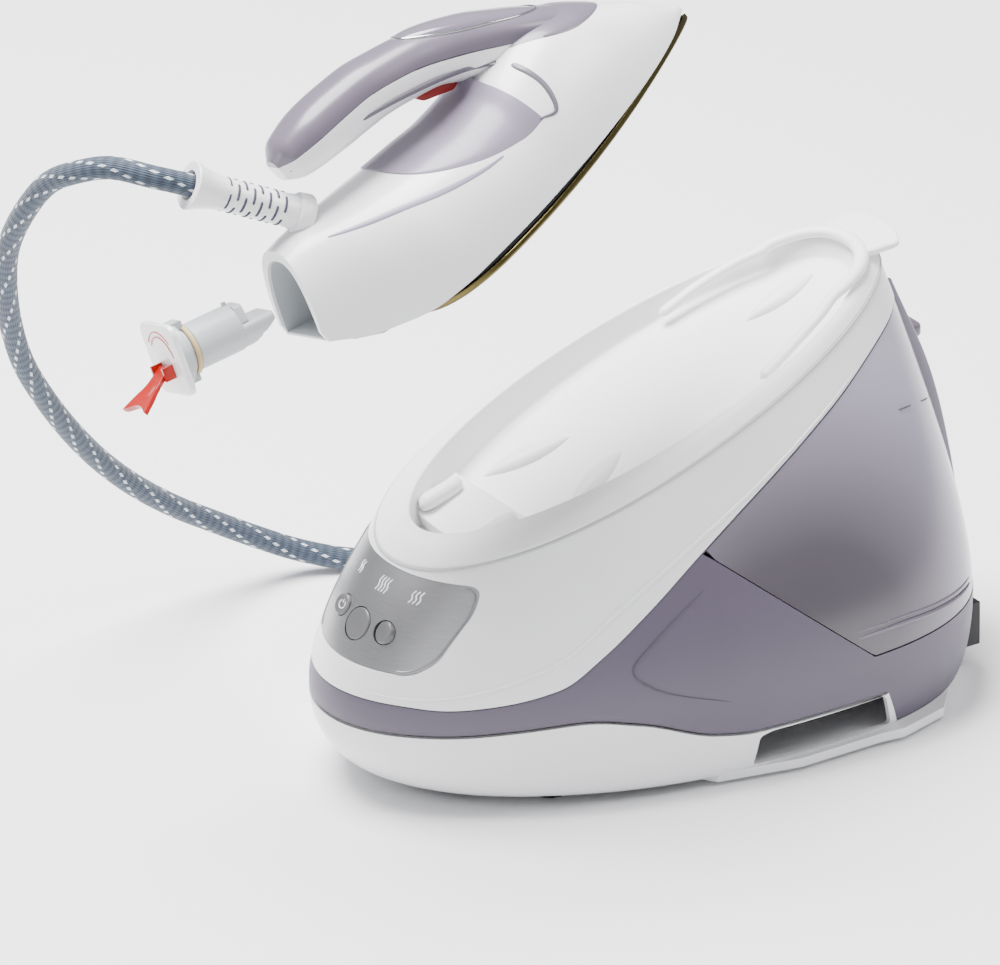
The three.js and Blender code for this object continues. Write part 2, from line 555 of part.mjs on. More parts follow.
const ear = (y) => cut(box(2, 10, y - 0.8, y + 0.8, -8, 0), new THREE.CylinderGeometry(1.2, 1.2, 20, 10)
  .translate(6, 0, -4.6));
addIron("collector_plate", "white", outOnBore(join(
  new THREE.ExtrudeGeometry(plateFace, { depth: 3.4, bevelEnabled: false }).translate(0, 0, -0.8),
  ear(7.3), ear(-7.3))));

// Hose sleeve: the swivelling cuff at the heel.
const sleeveRoot = [-243, 0, 88];
const sleeveDir = [-0.54, 0, 0.84];
const onSleeve = (geometry) => aimed(geometry, sleeveRoot, sleeveDir);
addIron("hose_sleeve", "white", onSleeve(turned([[0, 0.5], [10, 0.5], [9, 8], [9, 46], [10.5, 56],
  [14, 68], [HOSE_R + 3, 68], [HOSE_R + 0.9, 56], [HOSE_R + 0.9, 21], [0, 21]], 18)));

// Release lever: a red tongue between two ears on the plate, swung out.
const LEVER_AT = [6, 0, -4.6];
const LEVER_ANGLE = (58 * Math.PI) / 180;
const tongue = new THREE.Shape();
tongue.moveTo(-3, -6);
tongue.lineTo(8, -6.5);
tongue.lineTo(27, -14.5);
tongue.quadraticCurveTo(19, 0, 27, 14.5);
tongue.lineTo(8, 6.5);
tongue.lineTo(-3, 6);
addIron("collector_lever", "red", outOnBore(cut(
  new THREE.ExtrudeGeometry(tongue, { depth: 3.4, bevelEnabled: false, curveSegments: 3 })
    .translate(0, 0, -1.7), new THREE.CylinderGeometry(1.2, 1.2, 20, 10))
  .rotateY(LEVER_ANGLE).translate(...LEVER_AT)));
addIron("lever_pin", "steel", outOnBore(
  new THREE.CylinderGeometry(0.9, 0.9, 15, 8).translate(...LEVER_AT)));

// ---------- hose ----------

const HOSE_TURNS_R = 72;
const COIL_AT = [110, 222];
const FLOOR_HOSE = HOSE_R + GAP;
const HOSE_PATH = [
  [-283, 30.2, 382.2], [-299, 37, 388], [-314, 57, 390], [-324, 77, 382], [-328, 96, 370],
  [-330, 114, 350], [-326, 141, 314], [-316, 160, 280], [-302, 177, 245], [-285, 191, 211],
  [-262, 204, 177], [-237, 216, 145], [-209, 227, 114], [-181, 235, 88], [-150, 242, 64],
  [-124, 245, 47], [-93, 245, 28], [-66, 240, 14], [-40, 227, FLOOR_HOSE], [-10, 209, FLOOR_HOSE],
  [22, 186, FLOOR_HOSE], [49.5, 161.5, FLOOR_HOSE],
];
const TAIL_PATH = [
  [175, 71.3, 30], [196, 78.6, 30], [215, 88, 28], [230, 106, 22], [232, 130, 15], [214, 150, 10],
  [182, 156, 7.5], [146.1, 144.5, FLOOR_HOSE],
];
add("steam_hose", "braid", tube(HOSE_PATH, HOSE_R - 0.1, 8, 48));
add("hose_tail", "braid", tube(TAIL_PATH, HOSE_R, 8, 16));
const COIL_LOW = 2.2;
const COIL_HIGH = COIL_LOW + 4 * HOSE_R;
add("hose_coil", "braid", turned([
  [HOSE_TURNS_R - HOSE_R, COIL_LOW + 4], [HOSE_TURNS_R - 3, COIL_LOW], [HOSE_TURNS_R + 3, COIL_LOW],
  [HOSE_TURNS_R + HOSE_R, COIL_LOW + 4], [HOSE_TURNS_R + HOSE_R, COIL_HIGH - 4],
  [HOSE_TURNS_R + 3, COIL_HIGH], [HOSE_TURNS_R - 3, COIL_HIGH], [HOSE_TURNS_R - HOSE_R, COIL_HIGH - 4],
  [HOSE_TURNS_R - HOSE_R, COIL_LOW + 4]], 28).translate(...COIL_AT, 0));
const strap = (grow, half) => box(COIL_AT[0] - half, COIL_AT[0] + half,
  COIL_AT[1] + HOSE_TURNS_R - HOSE_R - grow, COIL_AT[1] + HOSE_TURNS_R + HOSE_R + grow,
  COIL_LOW - grow, COIL_HIGH + grow);
add("coil_tie", "dark", cut(strap(1.9, 5), strap(0.9, 9)));

export default root;
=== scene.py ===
import math

import bpy
import bmesh
import numpy as np
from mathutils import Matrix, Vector
from mathutils.bvhtree import BVHTree


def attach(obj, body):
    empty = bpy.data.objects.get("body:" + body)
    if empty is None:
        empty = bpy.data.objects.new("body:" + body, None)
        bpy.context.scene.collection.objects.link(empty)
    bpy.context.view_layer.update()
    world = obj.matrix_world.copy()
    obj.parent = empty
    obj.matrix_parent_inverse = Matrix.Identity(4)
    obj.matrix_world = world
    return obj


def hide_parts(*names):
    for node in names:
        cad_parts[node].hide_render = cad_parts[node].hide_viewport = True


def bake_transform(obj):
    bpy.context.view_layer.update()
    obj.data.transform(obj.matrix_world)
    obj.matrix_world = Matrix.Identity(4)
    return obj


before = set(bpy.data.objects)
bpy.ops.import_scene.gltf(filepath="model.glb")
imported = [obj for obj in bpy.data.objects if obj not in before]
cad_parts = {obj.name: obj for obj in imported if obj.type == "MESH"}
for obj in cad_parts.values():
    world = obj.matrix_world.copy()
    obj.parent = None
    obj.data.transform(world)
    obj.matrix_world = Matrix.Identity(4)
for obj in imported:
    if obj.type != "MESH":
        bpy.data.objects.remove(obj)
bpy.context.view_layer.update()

# All shapes are worked out in millimetres and scaled to metres when a mesh is made.
MM = 0.001
TAU = 2 * math.pi
WALL = 2.6


# ---------------------------------------------------------------- materials

def new_material(name, colour, roughness, metallic=0.0, coat=0.0, ior=1.5):
    mat = bpy.data.materials.new(name)
    mat.use_nodes = True
    shader = mat.node_tree.nodes["Principled BSDF"]
    shader.inputs["Base Color"].default_value = (*colour, 1)
    shader.inputs["Roughness"].default_value = roughness
    shader.inputs["Metallic"].default_value = metallic
    shader.inputs["Coat Weight"].default_value = coat
    shader.inputs["Coat Roughness"].default_value = 0.12
    shader.inputs["IOR"].default_value = ior
    return mat, mat.node_tree, shader


def linear(r, g, b):
    """Linear colour from 0-255 values."""
    def channel(v):
        v = v / 255
        return v / 12.92 if v <= 0.04045 else ((v + 0.055) / 1.055) ** 2.4
    return channel(r), channel(g), channel(b)


def noise(tree, scale, detail=3.0, rough=0.5, stretch=(1, 1, 1)):
    coord = tree.nodes.new("ShaderNodeTexCoord")
    mapping = tree.nodes.new("ShaderNodeMapping")
    mapping.inputs["Scale"].default_value = stretch
    tex = tree.nodes.new("ShaderNodeTexNoise")
    tex.inputs["Scale"].default_value = scale
    tex.inputs["Detail"].default_value = detail
    tex.inputs["Roughness"].default_value = rough
    tree.links.new(coord.outputs["Object"], mapping.inputs["Vector"])
    tree.links.new(mapping.outputs["Vector"], tex.inputs["Vector"])
    return tex.outputs["Fac"]


def ramp(tree, factor, stops):
    node = tree.nodes.new("ShaderNodeValToRGB")
    node.color_ramp.elements[0].position = stops[0][0]
    node.color_ramp.elements[0].color = (*stops[0][1], 1)
    node.color_ramp.elements[1].position = stops[-1][0]
    node.color_ramp.elements[1].color = (*stops[-1][1], 1)
    for place, colour in stops[1:-1]:
        node.color_ramp.elements.new(place).color = (*colour, 1)
    tree.links.new(factor, node.inputs["Fac"])
    return node.outputs["Color"]


def bump(tree, shader, height, strength, distance):
    node = tree.nodes.new("ShaderNodeBump")
    node.inputs["Strength"].default_value = strength
    node.inputs["Distance"].default_value = distance
    tree.links.new(height, node.inputs["Height"])
    tree.links.new(node.outputs["Normal"], shader.inputs["Normal"])


def math_node(tree, operation, a, b=0.0, c=0.0):
    node = tree.nodes.new("ShaderNodeMath")
    node.operation = operation
    for socket, value in zip(node.inputs, (a, b, c)):
        if isinstance(value, (int, float)):
            socket.default_value = value
        else:
            tree.links.new(value, socket)
    return node.outputs[0]


def moulding(name, colour, roughness, grain=1800, depth=0.00002, coat=0.0, spread=0.03):
    """Moulded plastic: a faint drift of tone and a fine sprayed or spark-eroded grain."""
    mat, tree, shader = new_material(name, colour, roughness, coat=coat)
    light = tuple(min(1, c * (1 + spread)) for c in colour)
    dark = tuple(c * (1 - spread) for c in colour)
    drift = noise(tree, 14, 2.0)
    tree.links.new(ramp(tree, drift, [(0.35, dark), (0.65, light)]), shader.inputs["Base Color"])
    bump(tree, shader, noise(tree, grain, 2.0), 0.35, depth)
    rough = tree.nodes.new("ShaderNodeMapRange")
    rough.inputs["To Min"].default_value = roughness - 0.04
    rough.inputs["To Max"].default_value = roughness + 0.05
    tree.links.new(noise(tree, 90, 3.0), rough.inputs["Value"])
    tree.links.new(rough.outputs["Result"], shader.inputs["Roughness"])
    return mat


def metal(name, colour, roughness, stretch=(1, 30, 30), depth=0.00002):
    mat, tree, shader = new_material(name, colour, roughness, metallic=1.0)
    lines = noise(tree, 120, 4.0, 0.6, stretch)
    light = tuple(min(1, c * 1.12) for c in colour)
    dark = tuple(c * 0.86 for c in colour)
    tree.links.new(ramp(tree, lines, [(0.3, dark), (0.7, light)]), shader.inputs["Base Color"])
    bump(tree, shader, lines, 0.3, depth)
    return mat


def smoked_tank_with_painted_shade():
    """Translucent smoky plastic with painted shade: darkest round a spot near the foot of the tank, lighter
    away from it.
    """
    colour = linear(150, 144, 160)
    mat, tree, shader = new_material("tank_smoke_with_painted_shade", colour, 0.2, coat=0.3, ior=1.49)
    shader.inputs["Transmission Weight"].default_value = 0.22
    coord = tree.nodes.new("ShaderNodeTexCoord")
    split = tree.nodes.new("ShaderNodeSeparateXYZ")
    tree.links.new(coord.outputs["Object"], split.inputs["Vector"])
    # Centre and reach of the painted shade.
    shade_x, shade_z = 0.035, 0.075
    shade_long, shade_high = 0.125, 0.105
    along = math_node(tree, "MULTIPLY_ADD", split.outputs["X"], 1 / shade_long, -shade_x / shade_long)
    height = math_node(tree, "MULTIPLY_ADD", split.outputs["Z"], 1 / shade_high, -shade_z / shade_high)
    along_squared = math_node(tree, "MULTIPLY", along, along)
    height_squared = math_node(tree, "MULTIPLY", height, height)
    reach = math_node(tree, "ADD", along_squared, height_squared)
    soft = math_node(tree, "MULTIPLY_ADD", noise(tree, 9, 2.0), 0.10, -0.05)
    level = math_node(tree, "ADD", math_node(tree, "MULTIPLY", reach, 0.5), soft)
    stops = [(0.0, linear(84, 78, 86)), (0.12, linear(92, 86, 95)), (0.4, linear(140, 133, 148)),
             (0.75, linear(172, 165, 183)), (1.0, linear(184, 178, 194))]
    tree.links.new(ramp(tree, level, stops), shader.inputs["Base Color"])
    bump(tree, shader, noise(tree, 1200, 2.0), 0.2, 0.00001)
    return mat


def braided_hose():
    """Woven cover: crossed strands in relief, with pale flecks along two helices."""
    mat, tree, shader = new_material("hose_braid", linear(88, 104, 122), 0.75)
    uv = tree.nodes.new("ShaderNodeUVMap")
    split = tree.nodes.new("ShaderNodeSeparateXYZ")
    tree.links.new(uv.outputs["UV"], split.inputs["Vector"])
    around, length = split.outputs["X"], split.outputs["Y"]

    def helix(turns, pitch):
        phase = math_node(tree, "MULTIPLY", length, TAU / pitch)
        return math_node(tree, "MULTIPLY_ADD", around, TAU * turns, phase)

    left = math_node(tree, "SINE", helix(16, 0.012))
    right = math_node(tree, "SINE", helix(-16, 0.012))
    weave = math_node(tree, "MULTIPLY", left, right)
    stripe = math_node(tree, "SINE", helix(4, 0.036))
    dash = math_node(tree, "SINE", helix(-7, 0.011))
    on_stripe = math_node(tree, "GREATER_THAN", stripe, 0.86)
    on_dash = math_node(tree, "GREATER_THAN", dash, 0.1)
    fleck = math_node(tree, "MULTIPLY", on_stripe, on_dash)
    tone = math_node(tree, "MULTIPLY_ADD", weave, 0.5, 0.5)
    yarn = [(0.0, linear(30, 40, 55)), (0.55, linear(48, 61, 78)), (1.0, linear(66, 81, 98))]
    base = ramp(tree, tone, yarn)
    mix = tree.nodes.new("ShaderNodeMix")
    mix.data_type = "RGBA"
    tree.links.new(fleck, mix.inputs[0])
    tree.links.new(base, mix.inputs[6])
    mix.inputs[7].default_value = (*linear(200, 206, 212), 1)
    tree.links.new(mix.outputs[2], shader.inputs["Base Color"])
    shader.inputs["Sheen Weight"].default_value = 0.25
    bump(tree, shader, weave, 0.6, 0.0004)
    return mat


WHITE = moulding("white_moulding", linear(232, 232, 234), 0.3, coat=0.25, spread=0.012)
TRAY_WHITE = moulding("tray_white", linear(240, 240, 241), 0.42, spread=0.012)
LILAC = moulding("lilac_moulding", linear(84, 76, 92), 0.42, grain=2600, depth=0.00003)
MAUVE = moulding("mauve_moulding", linear(100, 92, 106), 0.3, coat=0.2)
MAUVE_GLOSS = moulding("mauve_gloss", linear(106, 98, 113), 0.12, coat=0.7, spread=0.01)
# The mauve made lighter for the well under the handle: painted light.
WELL_LILAC_PAINTED_LIGHT = moulding("well_lilac_painted_light", linear(122, 114, 131), 0.38, coat=0.1)
LOOP_LILAC = moulding("loop_lilac", linear(96, 89, 101), 0.35, coat=0.15)
STRIPE = moulding("pale_stripe", linear(150, 142, 162), 0.35)
GREY = moulding("grey_moulding", linear(128, 129, 131), 0.42)
KEY = moulding("key_grey", linear(92, 92, 94), 0.35, coat=0.2)
PALE = moulding("pale_grey", linear(176, 180, 184), 0.4)
# Dark rubber, also painted shade in the steam holes and behind the panel.
DARK = moulding("dark_rubber_and_painted_shade", linear(34, 34, 37), 0.6, grain=1400)
# Grey of the line round the panel: painted shadow.
RIM_SHADOW_GREY = moulding("rim_grey_painted_shadow", linear(118, 118, 121), 0.3, coat=0.3)
RAIL_LILAC = moulding("rail_lilac", linear(132, 126, 138), 0.35, coat=0.2)
JOINT = moulding("joint_shade", linear(88, 82, 94), 0.7)
# Lighter lilac of the tank's ledge lines: a painted highlight along a real step.
LEDGE_LILAC_HIGHLIGHT = moulding("ledge_lilac_painted_highlight", linear(104, 97, 110), 0.25, coat=0.4)
TRAY_SEAM = moulding("tray_seam", linear(176, 176, 178), 0.6)
SLEEVE_SHADE = moulding("sleeve_shade", linear(62, 63, 78), 0.7)
# Dark line colour: painted shade in the side band's pressed crease, and the tank's level marks.
CREASE_SHADE_AND_MARKS = moulding("seam_shadow", linear(70, 66, 76), 0.7)
RED = moulding("red_moulding", linear(190, 30, 10), 0.3, coat=0.3)
LEVER_RED = moulding("lever_red", linear(168, 20, 4), 0.22, coat=0.4)
TRIGGER_RED = moulding("trigger_red", linear(140, 22, 16), 0.35, coat=0.2)
BEIGE = moulding("beige_seal", linear(196, 172, 128), 0.55)
GREEN = moulding("board_green", linear(30, 92, 58), 0.5)
MILK = moulding("milky_lens", linear(238, 238, 236), 0.25, coat=0.3)
STEEL = metal("plain_steel", linear(188, 190, 192), 0.32)
BRASS = metal("plain_brass", linear(186, 156, 92), 0.34)
CHROME = metal("chrome_trim", linear(205, 206, 208), 0.12)
PANEL = metal("brushed_foil", linear(176, 176, 178), 0.38, (1.5, 0.6, 40))
SOLE = metal("sole_enamel", linear(98, 88, 54), 0.28, (1, 1, 1))
TANK = smoked_tank_with_painted_shade()
BRAID = braided_hose()


# ---------------------------------------------------------------- mesh helpers

def smooth_table(rows):
    """A smooth function through a table of (x, value) rows, without overshoot."""
    table = np.array(sorted(rows), float)
    xs, ys = table[:, 0], table[:, 1]
    step = np.diff(xs)
    slope = np.diff(ys) / step
    tangent = np.zeros(len(xs))
    same = slope[:-1] * slope[1:] > 0
    tangent[1:-1][same] = 2 / (1 / slope[:-1][same] + 1 / slope[1:][same])
    tangent[0], tangent[-1] = slope[0], slope[-1]

    def value(x):
        x = np.clip(np.asarray(x, float), xs[0], xs[-1])
        k = np.clip(np.searchsorted(xs, x, side="right") - 1, 0, len(step) - 1)
        u = (x - xs[k]) / step[k]
        a = (1 + 2 * u) * (1 - u) ** 2
        b = u * (1 - u) ** 2
        c = u * u * (3 - 2 * u)
        d = u * u * (u - 1)
        return a * ys[k] + b * step[k] * tangent[k] + c * ys[k + 1] + d * step[k] * tangent[k + 1]
    return value


def make_object(name, points, faces, material, body, sharp=35, replaces=()):
    """A closed mesh from points in millimetres, with its faces turned to point out."""
    mesh = bpy.data.meshes.new(name)
    mesh.from_pydata([tuple(p) for p in np.asarray(points, float) * MM], [], faces)
    bm = bmesh.new()
    bm.from_mesh(mesh)
    bmesh.ops.remove_doubles(bm, verts=bm.verts, dist=1e-6)
    bmesh.ops.recalc_face_normals(bm, faces=bm.faces)
    bm.to_mesh(mesh)
    bm.free()
    obj = bpy.data.objects.new(name, mesh)
    bpy.context.scene.collection.objects.link(obj)
    return finish_object(obj, material, body, sharp, replaces)


def finish_object(obj, material, body, sharp=35, replaces=()):
    obj.data.materials.clear()
    obj.data.materials.append(material)
    obj.data.shade_smooth()
    obj.data.set_sharp_from_angle(angle=math.radians(sharp))
    if body:
        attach(obj, body)
        for node in replaces:
            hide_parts(node)
    return obj


def grid_faces(rows, columns, close_rows=False, close_columns=False):
    faces = []
    for i in range(rows if close_rows else rows - 1):
        for j in range(columns if close_columns else columns - 1):
            i2, j2 = (i + 1) % rows, (j + 1) % columns
            faces.append((i * columns + j, i * columns + j2, i2 * columns + j2, i2 * columns + j))
    return faces


def loft(name, rings, material, body, sharp=35, replaces=(), capped=True):
    """A solid through closed rings of equal count; the end rings are closed with a face."""
    rings = np.asarray(rings, float)
    rows, columns = rings.shape[:2]
    faces = grid_faces(rows, columns, close_columns=True)
    if capped:
        faces.append(tuple(range(columns)))
        faces.append(tuple((rows - 1) * columns + j for j in reversed(range(columns))))
    return make_object(name, rings.reshape(-1, 3), faces, material, body, sharp, replaces)


def boolean(obj, cutter, operation="DIFFERENCE"):
    modifier = obj.modifiers.new("cut", "BOOLEAN")
    modifier.operation = operation
    modifier.solver = "EXACT"
    modifier.object = cutter
    dg = bpy.context.evaluated_depsgraph_get()
    mesh = bpy.data.meshes.new_from_object(obj.evaluated_get(dg))
    obj.modifiers.clear()
    old = obj.data
    obj.data = mesh
    bpy.data.meshes.remove(old)
    bpy.data.objects.remove(cutter)
    return obj


# ---------------------------------------------------------------- base surface

GIRTH = dict(front=-211, rear=190, mid=50, half=124, n_front=2.0, n_rear=2.6)
GROOVE = dict(front=-168, rear=155, mid=-30, half=78, n_front=2.1, n_rear=1.9)
FOOT = dict(front=-165, rear=176, mid=45, half=116, n_front=2.0, n_rear=2.6)
RIM = dict(front=-150, rear=140, mid=-10, half=64, n_front=2.0, n_rear=2.0)
GIRTH_Z = 57
FOOT_Z = 5
RIM_Z = 189
RIM_SLOPE = 0.326
FLOOR_Z = 181
FLOOR_SLOPE = 0.39


def signed_power(v, e):
    return np.sign(v) * np.abs(v) ** e


def outline(shape, t, inset=0.0):
    c = np.cos(t)
    n = np.where(c < 0, shape["n_front"], shape["n_rear"])
    reach = np.where(c < 0, shape["mid"] - shape["front"], shape["rear"] - shape["mid"]) - inset
    x = shape["mid"] + reach * signed_power(c, 2 / n)
    return x, (shape["half"] - inset) * signed_power(np.sin(t), 2 / n)


def body_point(t, h):
    """The base's outside: h is -1 at the foot, 0 at the girth and 1 at the groove under the rim."""
    t, h = np.broadcast_arrays(np.asarray(t, float), np.asarray(h, float))
    x2, y2 = outline(GIRTH, t)
    x3, y3 = outline(GROOVE, t)
    x1, y1 = outline(FOOT, t)
    up, down = np.clip(h, 0, 1), np.clip(-h, 0, 1)
    k = up ** 1.6
    q = 1 - np.sqrt(np.clip(1 - down ** 2.2, 0, 1))
    x = np.where(h < 0, x2 * (1 - q) + x1 * q, x2 * (1 - k) + x3 * k)
    y = np.where(h < 0, y2 * (1 - q) + y1 * q, y2 * (1 - k) + y3 * k)
    z = np.where(h < 0, GIRTH_Z * (1 - down) + FOOT_Z * down,
                 GIRTH_Z * (1 - up) + (RIM_Z + RIM_SLOPE * x3) * up)
    return np.stack([x, y, z], -1)


def body_normal(t, h):
    e = 1e-3
    du = body_point(t + e, h) - body_point(t - e, h)
    dv = body_point(t, np.minimum(h + e, 1)) - body_point(t, np.maximum(h - e, -1))
    n = np.cross(du, dv)
    return n / np.maximum(np.linalg.norm(n, axis=-1, keepdims=True), 1e-9)


def level_of(t, edge):
    """The h at which the body's surface meets a side-view line z = edge(x), for each t."""
    low, high = np.full_like(t, -0.999), np.full_like(t, 1.0)
    for _ in range(40):
        mid = (low + high) / 2
        p = body_point(t, mid)
        under = p[..., 2] < edge(p[..., 0])
        low, high = np.where(under, mid, low), np.where(under, high, mid)
    return (low + high) / 2


def spread(t0, t1, count):
    return np.linspace(t0, t1, count)


def patch(name, t, low, high, material, body, lift=0.0, thick=WALL, edge=0.7, rows=26,
          closed=False, replaces=(), sharp=40):
    """A wall on the body's surface between two levels, with its edges rounded over."""
    t = np.asarray(t, float)
    size = np.maximum(np.linalg.norm(body_point(t, high) - body_point(t, low), axis=-1), 1e-3)
    turn = np.linspace(0, math.pi / 2, 4)
    section = []
    for a in turn:
        section.append(("low", edge * (1 - math.sin(a)), -edge * (1 - math.cos(math.pi / 2 - a))))
    for s in np.linspace(0, 1, rows)[1:-1]:
        section.append(("mid", s, 0.0))
    for a in turn[::-1]:
        section.append(("high", edge * (1 - math.sin(a)), -edge * (1 - math.cos(math.pi / 2 - a))))
    section.append(("high", 0.0, -thick))
    section.append(("low", 0.0, -thick))
    rings = []
    for where, amount, depth in section:
        if where == "mid":
            margin = np.minimum(edge / size, 0.45)
            s = margin + (1 - 2 * margin) * amount
        else:
            margin = np.minimum(amount / size, 0.45)
            s = margin if where == "low" else 1 - margin
        h = low + (high - low) * s
        rings.append(body_point(t, h) + body_normal(t, h) * (lift + depth))
    rings = np.stack(rings)
    rows_made, columns = rings.shape[:2]
    faces = grid_faces(rows_made, columns, close_rows=True, close_columns=closed)
    if not closed:
        faces.append(tuple(i * columns for i in range(rows_made)))
        faces.append(tuple(i * columns + columns - 1 for i in reversed(range(rows_made))))
    return make_object(name, rings.reshape(-1, 3), faces, material, body, sharp, replaces)


# Parting lines of the base in side view. These rows are rounded measurements.
SHELL_EDGE = smooth_table([
    (-260, 69), (-193, 68.4), (-177, 67.5), (-154, 69.5), (-118, 77), (-94, 91.5), (-68, 109.5), (-26, 138),
    (17.5, 162.5), (74, 189.5), (134, 213), (160, 217.5), (260, 217.6)])
BAND_EDGE = smooth_table([
    (-260, 50), (-173, 53), (-142, 55.5), (-108, 57.5), (-75, 51.5), (-30, 36), (-3, 32.5), (260, 32.4)])
SEAM_GAP = 0.35
TANK_DROP = 0.819
TANK_LINE = 116.6
LEDGE_Z = 57.3


def tank_line(x):
    return np.maximum(TANK_LINE - TANK_DROP * x, LEDGE_Z)


def band_top(x):
    return np.minimum(SHELL_EDGE(x) - SEAM_GAP, np.where(x < -40, 1000, tank_line(x) - SEAM_GAP))


def band_low(x):
    skirt = np.interp(x, [82, 93], [32.4, 9.0])
    return np.where(x > 82, skirt, BAND_EDGE(x) + SEAM_GAP)


def hull_top(x):
    skirt = np.interp(x, [82.5, 92.5], [32.0, 8.6])
    return np.where(x > 82.5, skirt, BAND_EDGE(x) - 2.0)


ROUND = spread(0, TAU, 481)[:-1]

upper_shell = patch("upper_shell_skin", ROUND, level_of(ROUND, lambda x: SHELL_EDGE(x) + SEAM_GAP),
                    np.full_like(ROUND, 0.995), WHITE, "base", closed=True, rows=40,
                    replaces=["upper_shell"])
side_band = patch("side_band_skin", ROUND, level_of(ROUND, band_low), level_of(ROUND, band_top), LILAC,
                  "base", closed=True, rows=26, lift=-0.3, replaces=["side_band"])

# Window on the side of the tank: the columns where the shell edge is above the tank line.
TANK_T0 = 1.9
near = spread(-TANK_T0, TANK_T0, 260)
tank_low = level_of(near, lambda x: tank_line(x) + 0.5)
tank_high = level_of(near, lambda x: SHELL_EDGE(x) - 0.9)
keep = tank_high - tank_low > 0.004
tank = patch("water_tank_skin", near[keep], tank_low[keep], tank_high[keep], TANK, "tank", lift=-0.6,
             thick=2.4, edge=1.2, rows=30, replaces=["water_tank"])

lower_hull = patch("lower_hull_skin", ROUND, np.full_like(ROUND, -0.995), level_of(ROUND, hull_top), WHITE,
                   "base", closed=True, rows=24, lift=-0.1, replaces=["lower_hull"])


def side_prism(points, y0, y1):
    """A cutter drawn straight across the base from a side-view outline."""
    points = np.asarray(points, float)
    rings = [np.stack([points[:, 0], np.full(len(points), y), points[:, 1]], -1) for y in (y0, y1)]
    return loft("cutter", rings, DARK, None)


def rounded_outline(corners, radius, steps=6):
    """The polygon with each corner turned by an arc-like curve of about the given radius."""
    corners = np.asarray(corners, float)
    made = []
    for i, corner in enumerate(corners):
        before, after = corners[i - 1], corners[(i + 1) % len(corners)]
        a, b = before - corner, after - corner
        reach = min(radius, np.linalg.norm(a) * 0.45, np.linalg.norm(b) * 0.45)
        p0 = corner + a / np.linalg.norm(a) * reach
        p1 = corner + b / np.linalg.norm(b) * reach
        for u in np.linspace(0, 1, steps + 1):
            made.append(p0 * (1 - u) ** 2 + corner * 2 * u * (1 - u) + p1 * u * u)
    return np.array(made)


SLOT = rounded_outline([(-5.5, 9), (-3, 27.5), (5, 29.6), (80.5, 30.4), (87.5, 9)], 3)
for side in (-1, 1):
    boolean(lower_hull, side_prism(SLOT, side * 60, side * 160))
finish_object(lower_hull, WHITE, None)

FRONT_WINDOW = [(-43, 85), (43, 85), (52, 93), (56, 119), (53, 132), (-53, 132), (-56, 119), (-52, 93)]


def front_prism(grow, x0=-260, x1=-120):
    corners = [(y + math.copysign(grow, y), z + math.copysign(grow, z - 108)) for y, z in FRONT_WINDOW]
    flat = rounded_outline(corners, 11, 8)
    rings = [np.stack([np.full(len(flat), x), flat[:, 0], flat[:, 1]], -1) for x in (x0, x1)]
    return loft("cutter", rings, DARK, None)


boolean(upper_shell, front_prism(0.5))
finish_object(upper_shell, WHITE, None)


def frame_on(axis):
    """Two directions at right angles to an axis, and the axis itself."""
    w = np.asarray(axis, float) / np.linalg.norm(axis)
    side = np.cross([0, 1, 0] if abs(w[1]) < 0.9 else [1, 0, 0], w)
    u = side / np.linalg.norm(side)
    return u, np.cross(w, u), w


def turned(name, profile, at, axis, material, body, sides=64, sharp=30, replaces=(), squash=(1, 1)):
    """A turned solid from (radius, height) rows that start and end on the axis, or close on themselves."""
    u, v, w = frame_on(axis)
    angle = np.linspace(0, TAU, sides, endpoint=False)
    rings = []
    for radius, height in profile:
        r = max(radius, 0.01)
        ring = np.outer(np.cos(angle) * r * squash[0], u) + np.outer(np.sin(angle) * r * squash[1], v)
        rings.append(np.asarray(at, float) + ring + w * height)
    closed = profile[0] == profile[-1]
    if closed:
        rings = np.array(rings[:-1])
        faces = grid_faces(len(rings), sides, close_rows=True, close_columns=True)
        return make_object(name, rings.reshape(-1, 3), faces, material, body, sharp, replaces)
    return loft(name, rings, material, body, sharp, replaces)


PANEL_NORMAL = np.array([-0.86, 0, 0.51]) / np.linalg.norm([0.86, 0.51])
BUTTONS = [
    ("power_button", "power_key", (-188, 18, 105), 6.2),
    ("mode_button", "mode_key", (-190.6, -1, 101.5), 9.4),
    ("descale_button", "descale_key", (-187, -21, 103), 6.5),
]
panel_t = spread(math.pi - 0.95, math.pi + 0.95, 150)
panel_low, panel_high = np.full_like(panel_t, 0.12), np.full_like(panel_t, 0.985)
panel = patch("control_panel_skin", panel_t, panel_low, panel_high, PANEL, "base", lift=-0.5,
              thick=1.4, edge=0.2, rows=60, replaces=["control_panel"])
boolean(panel, front_prism(-0.2), "INTERSECT")
for name, body, at, radius in BUTTONS:
    boolean(panel, turned("cutter", [(0, -30), (radius + 0.5, -30), (radius + 0.5, 20), (0, 20)], at,
                          PANEL_NORMAL, DARK, None))
finish_object(panel, PANEL, None, sharp=30)
# Dark sheet behind the panel, seen through the gap round its edge: painted shade.
backing = patch("panel_backing_painted_shade", panel_t, np.full_like(panel_t, 0.14), np.full_like(panel_t, 0.97), DARK,
                "base", lift=-2.4, thick=1.0, edge=0.2, rows=24)
boolean(backing, front_prism(1.5), "INTERSECT")
finish_object(backing, DARK, None)
for name, body, at, radius in BUTTONS:
    top = 1.6
    dish = [(0, -6), (radius, -6), (radius, top - 0.9), (radius - 0.25, top - 0.35), (radius - 0.9, top),
            (radius - 1.6, top - 0.1), (radius * 0.5, top - 0.45), (0, top - 0.55)]
    turned(name + "_cap", dish, at, PANEL_NORMAL, KEY, body, replaces=[name])


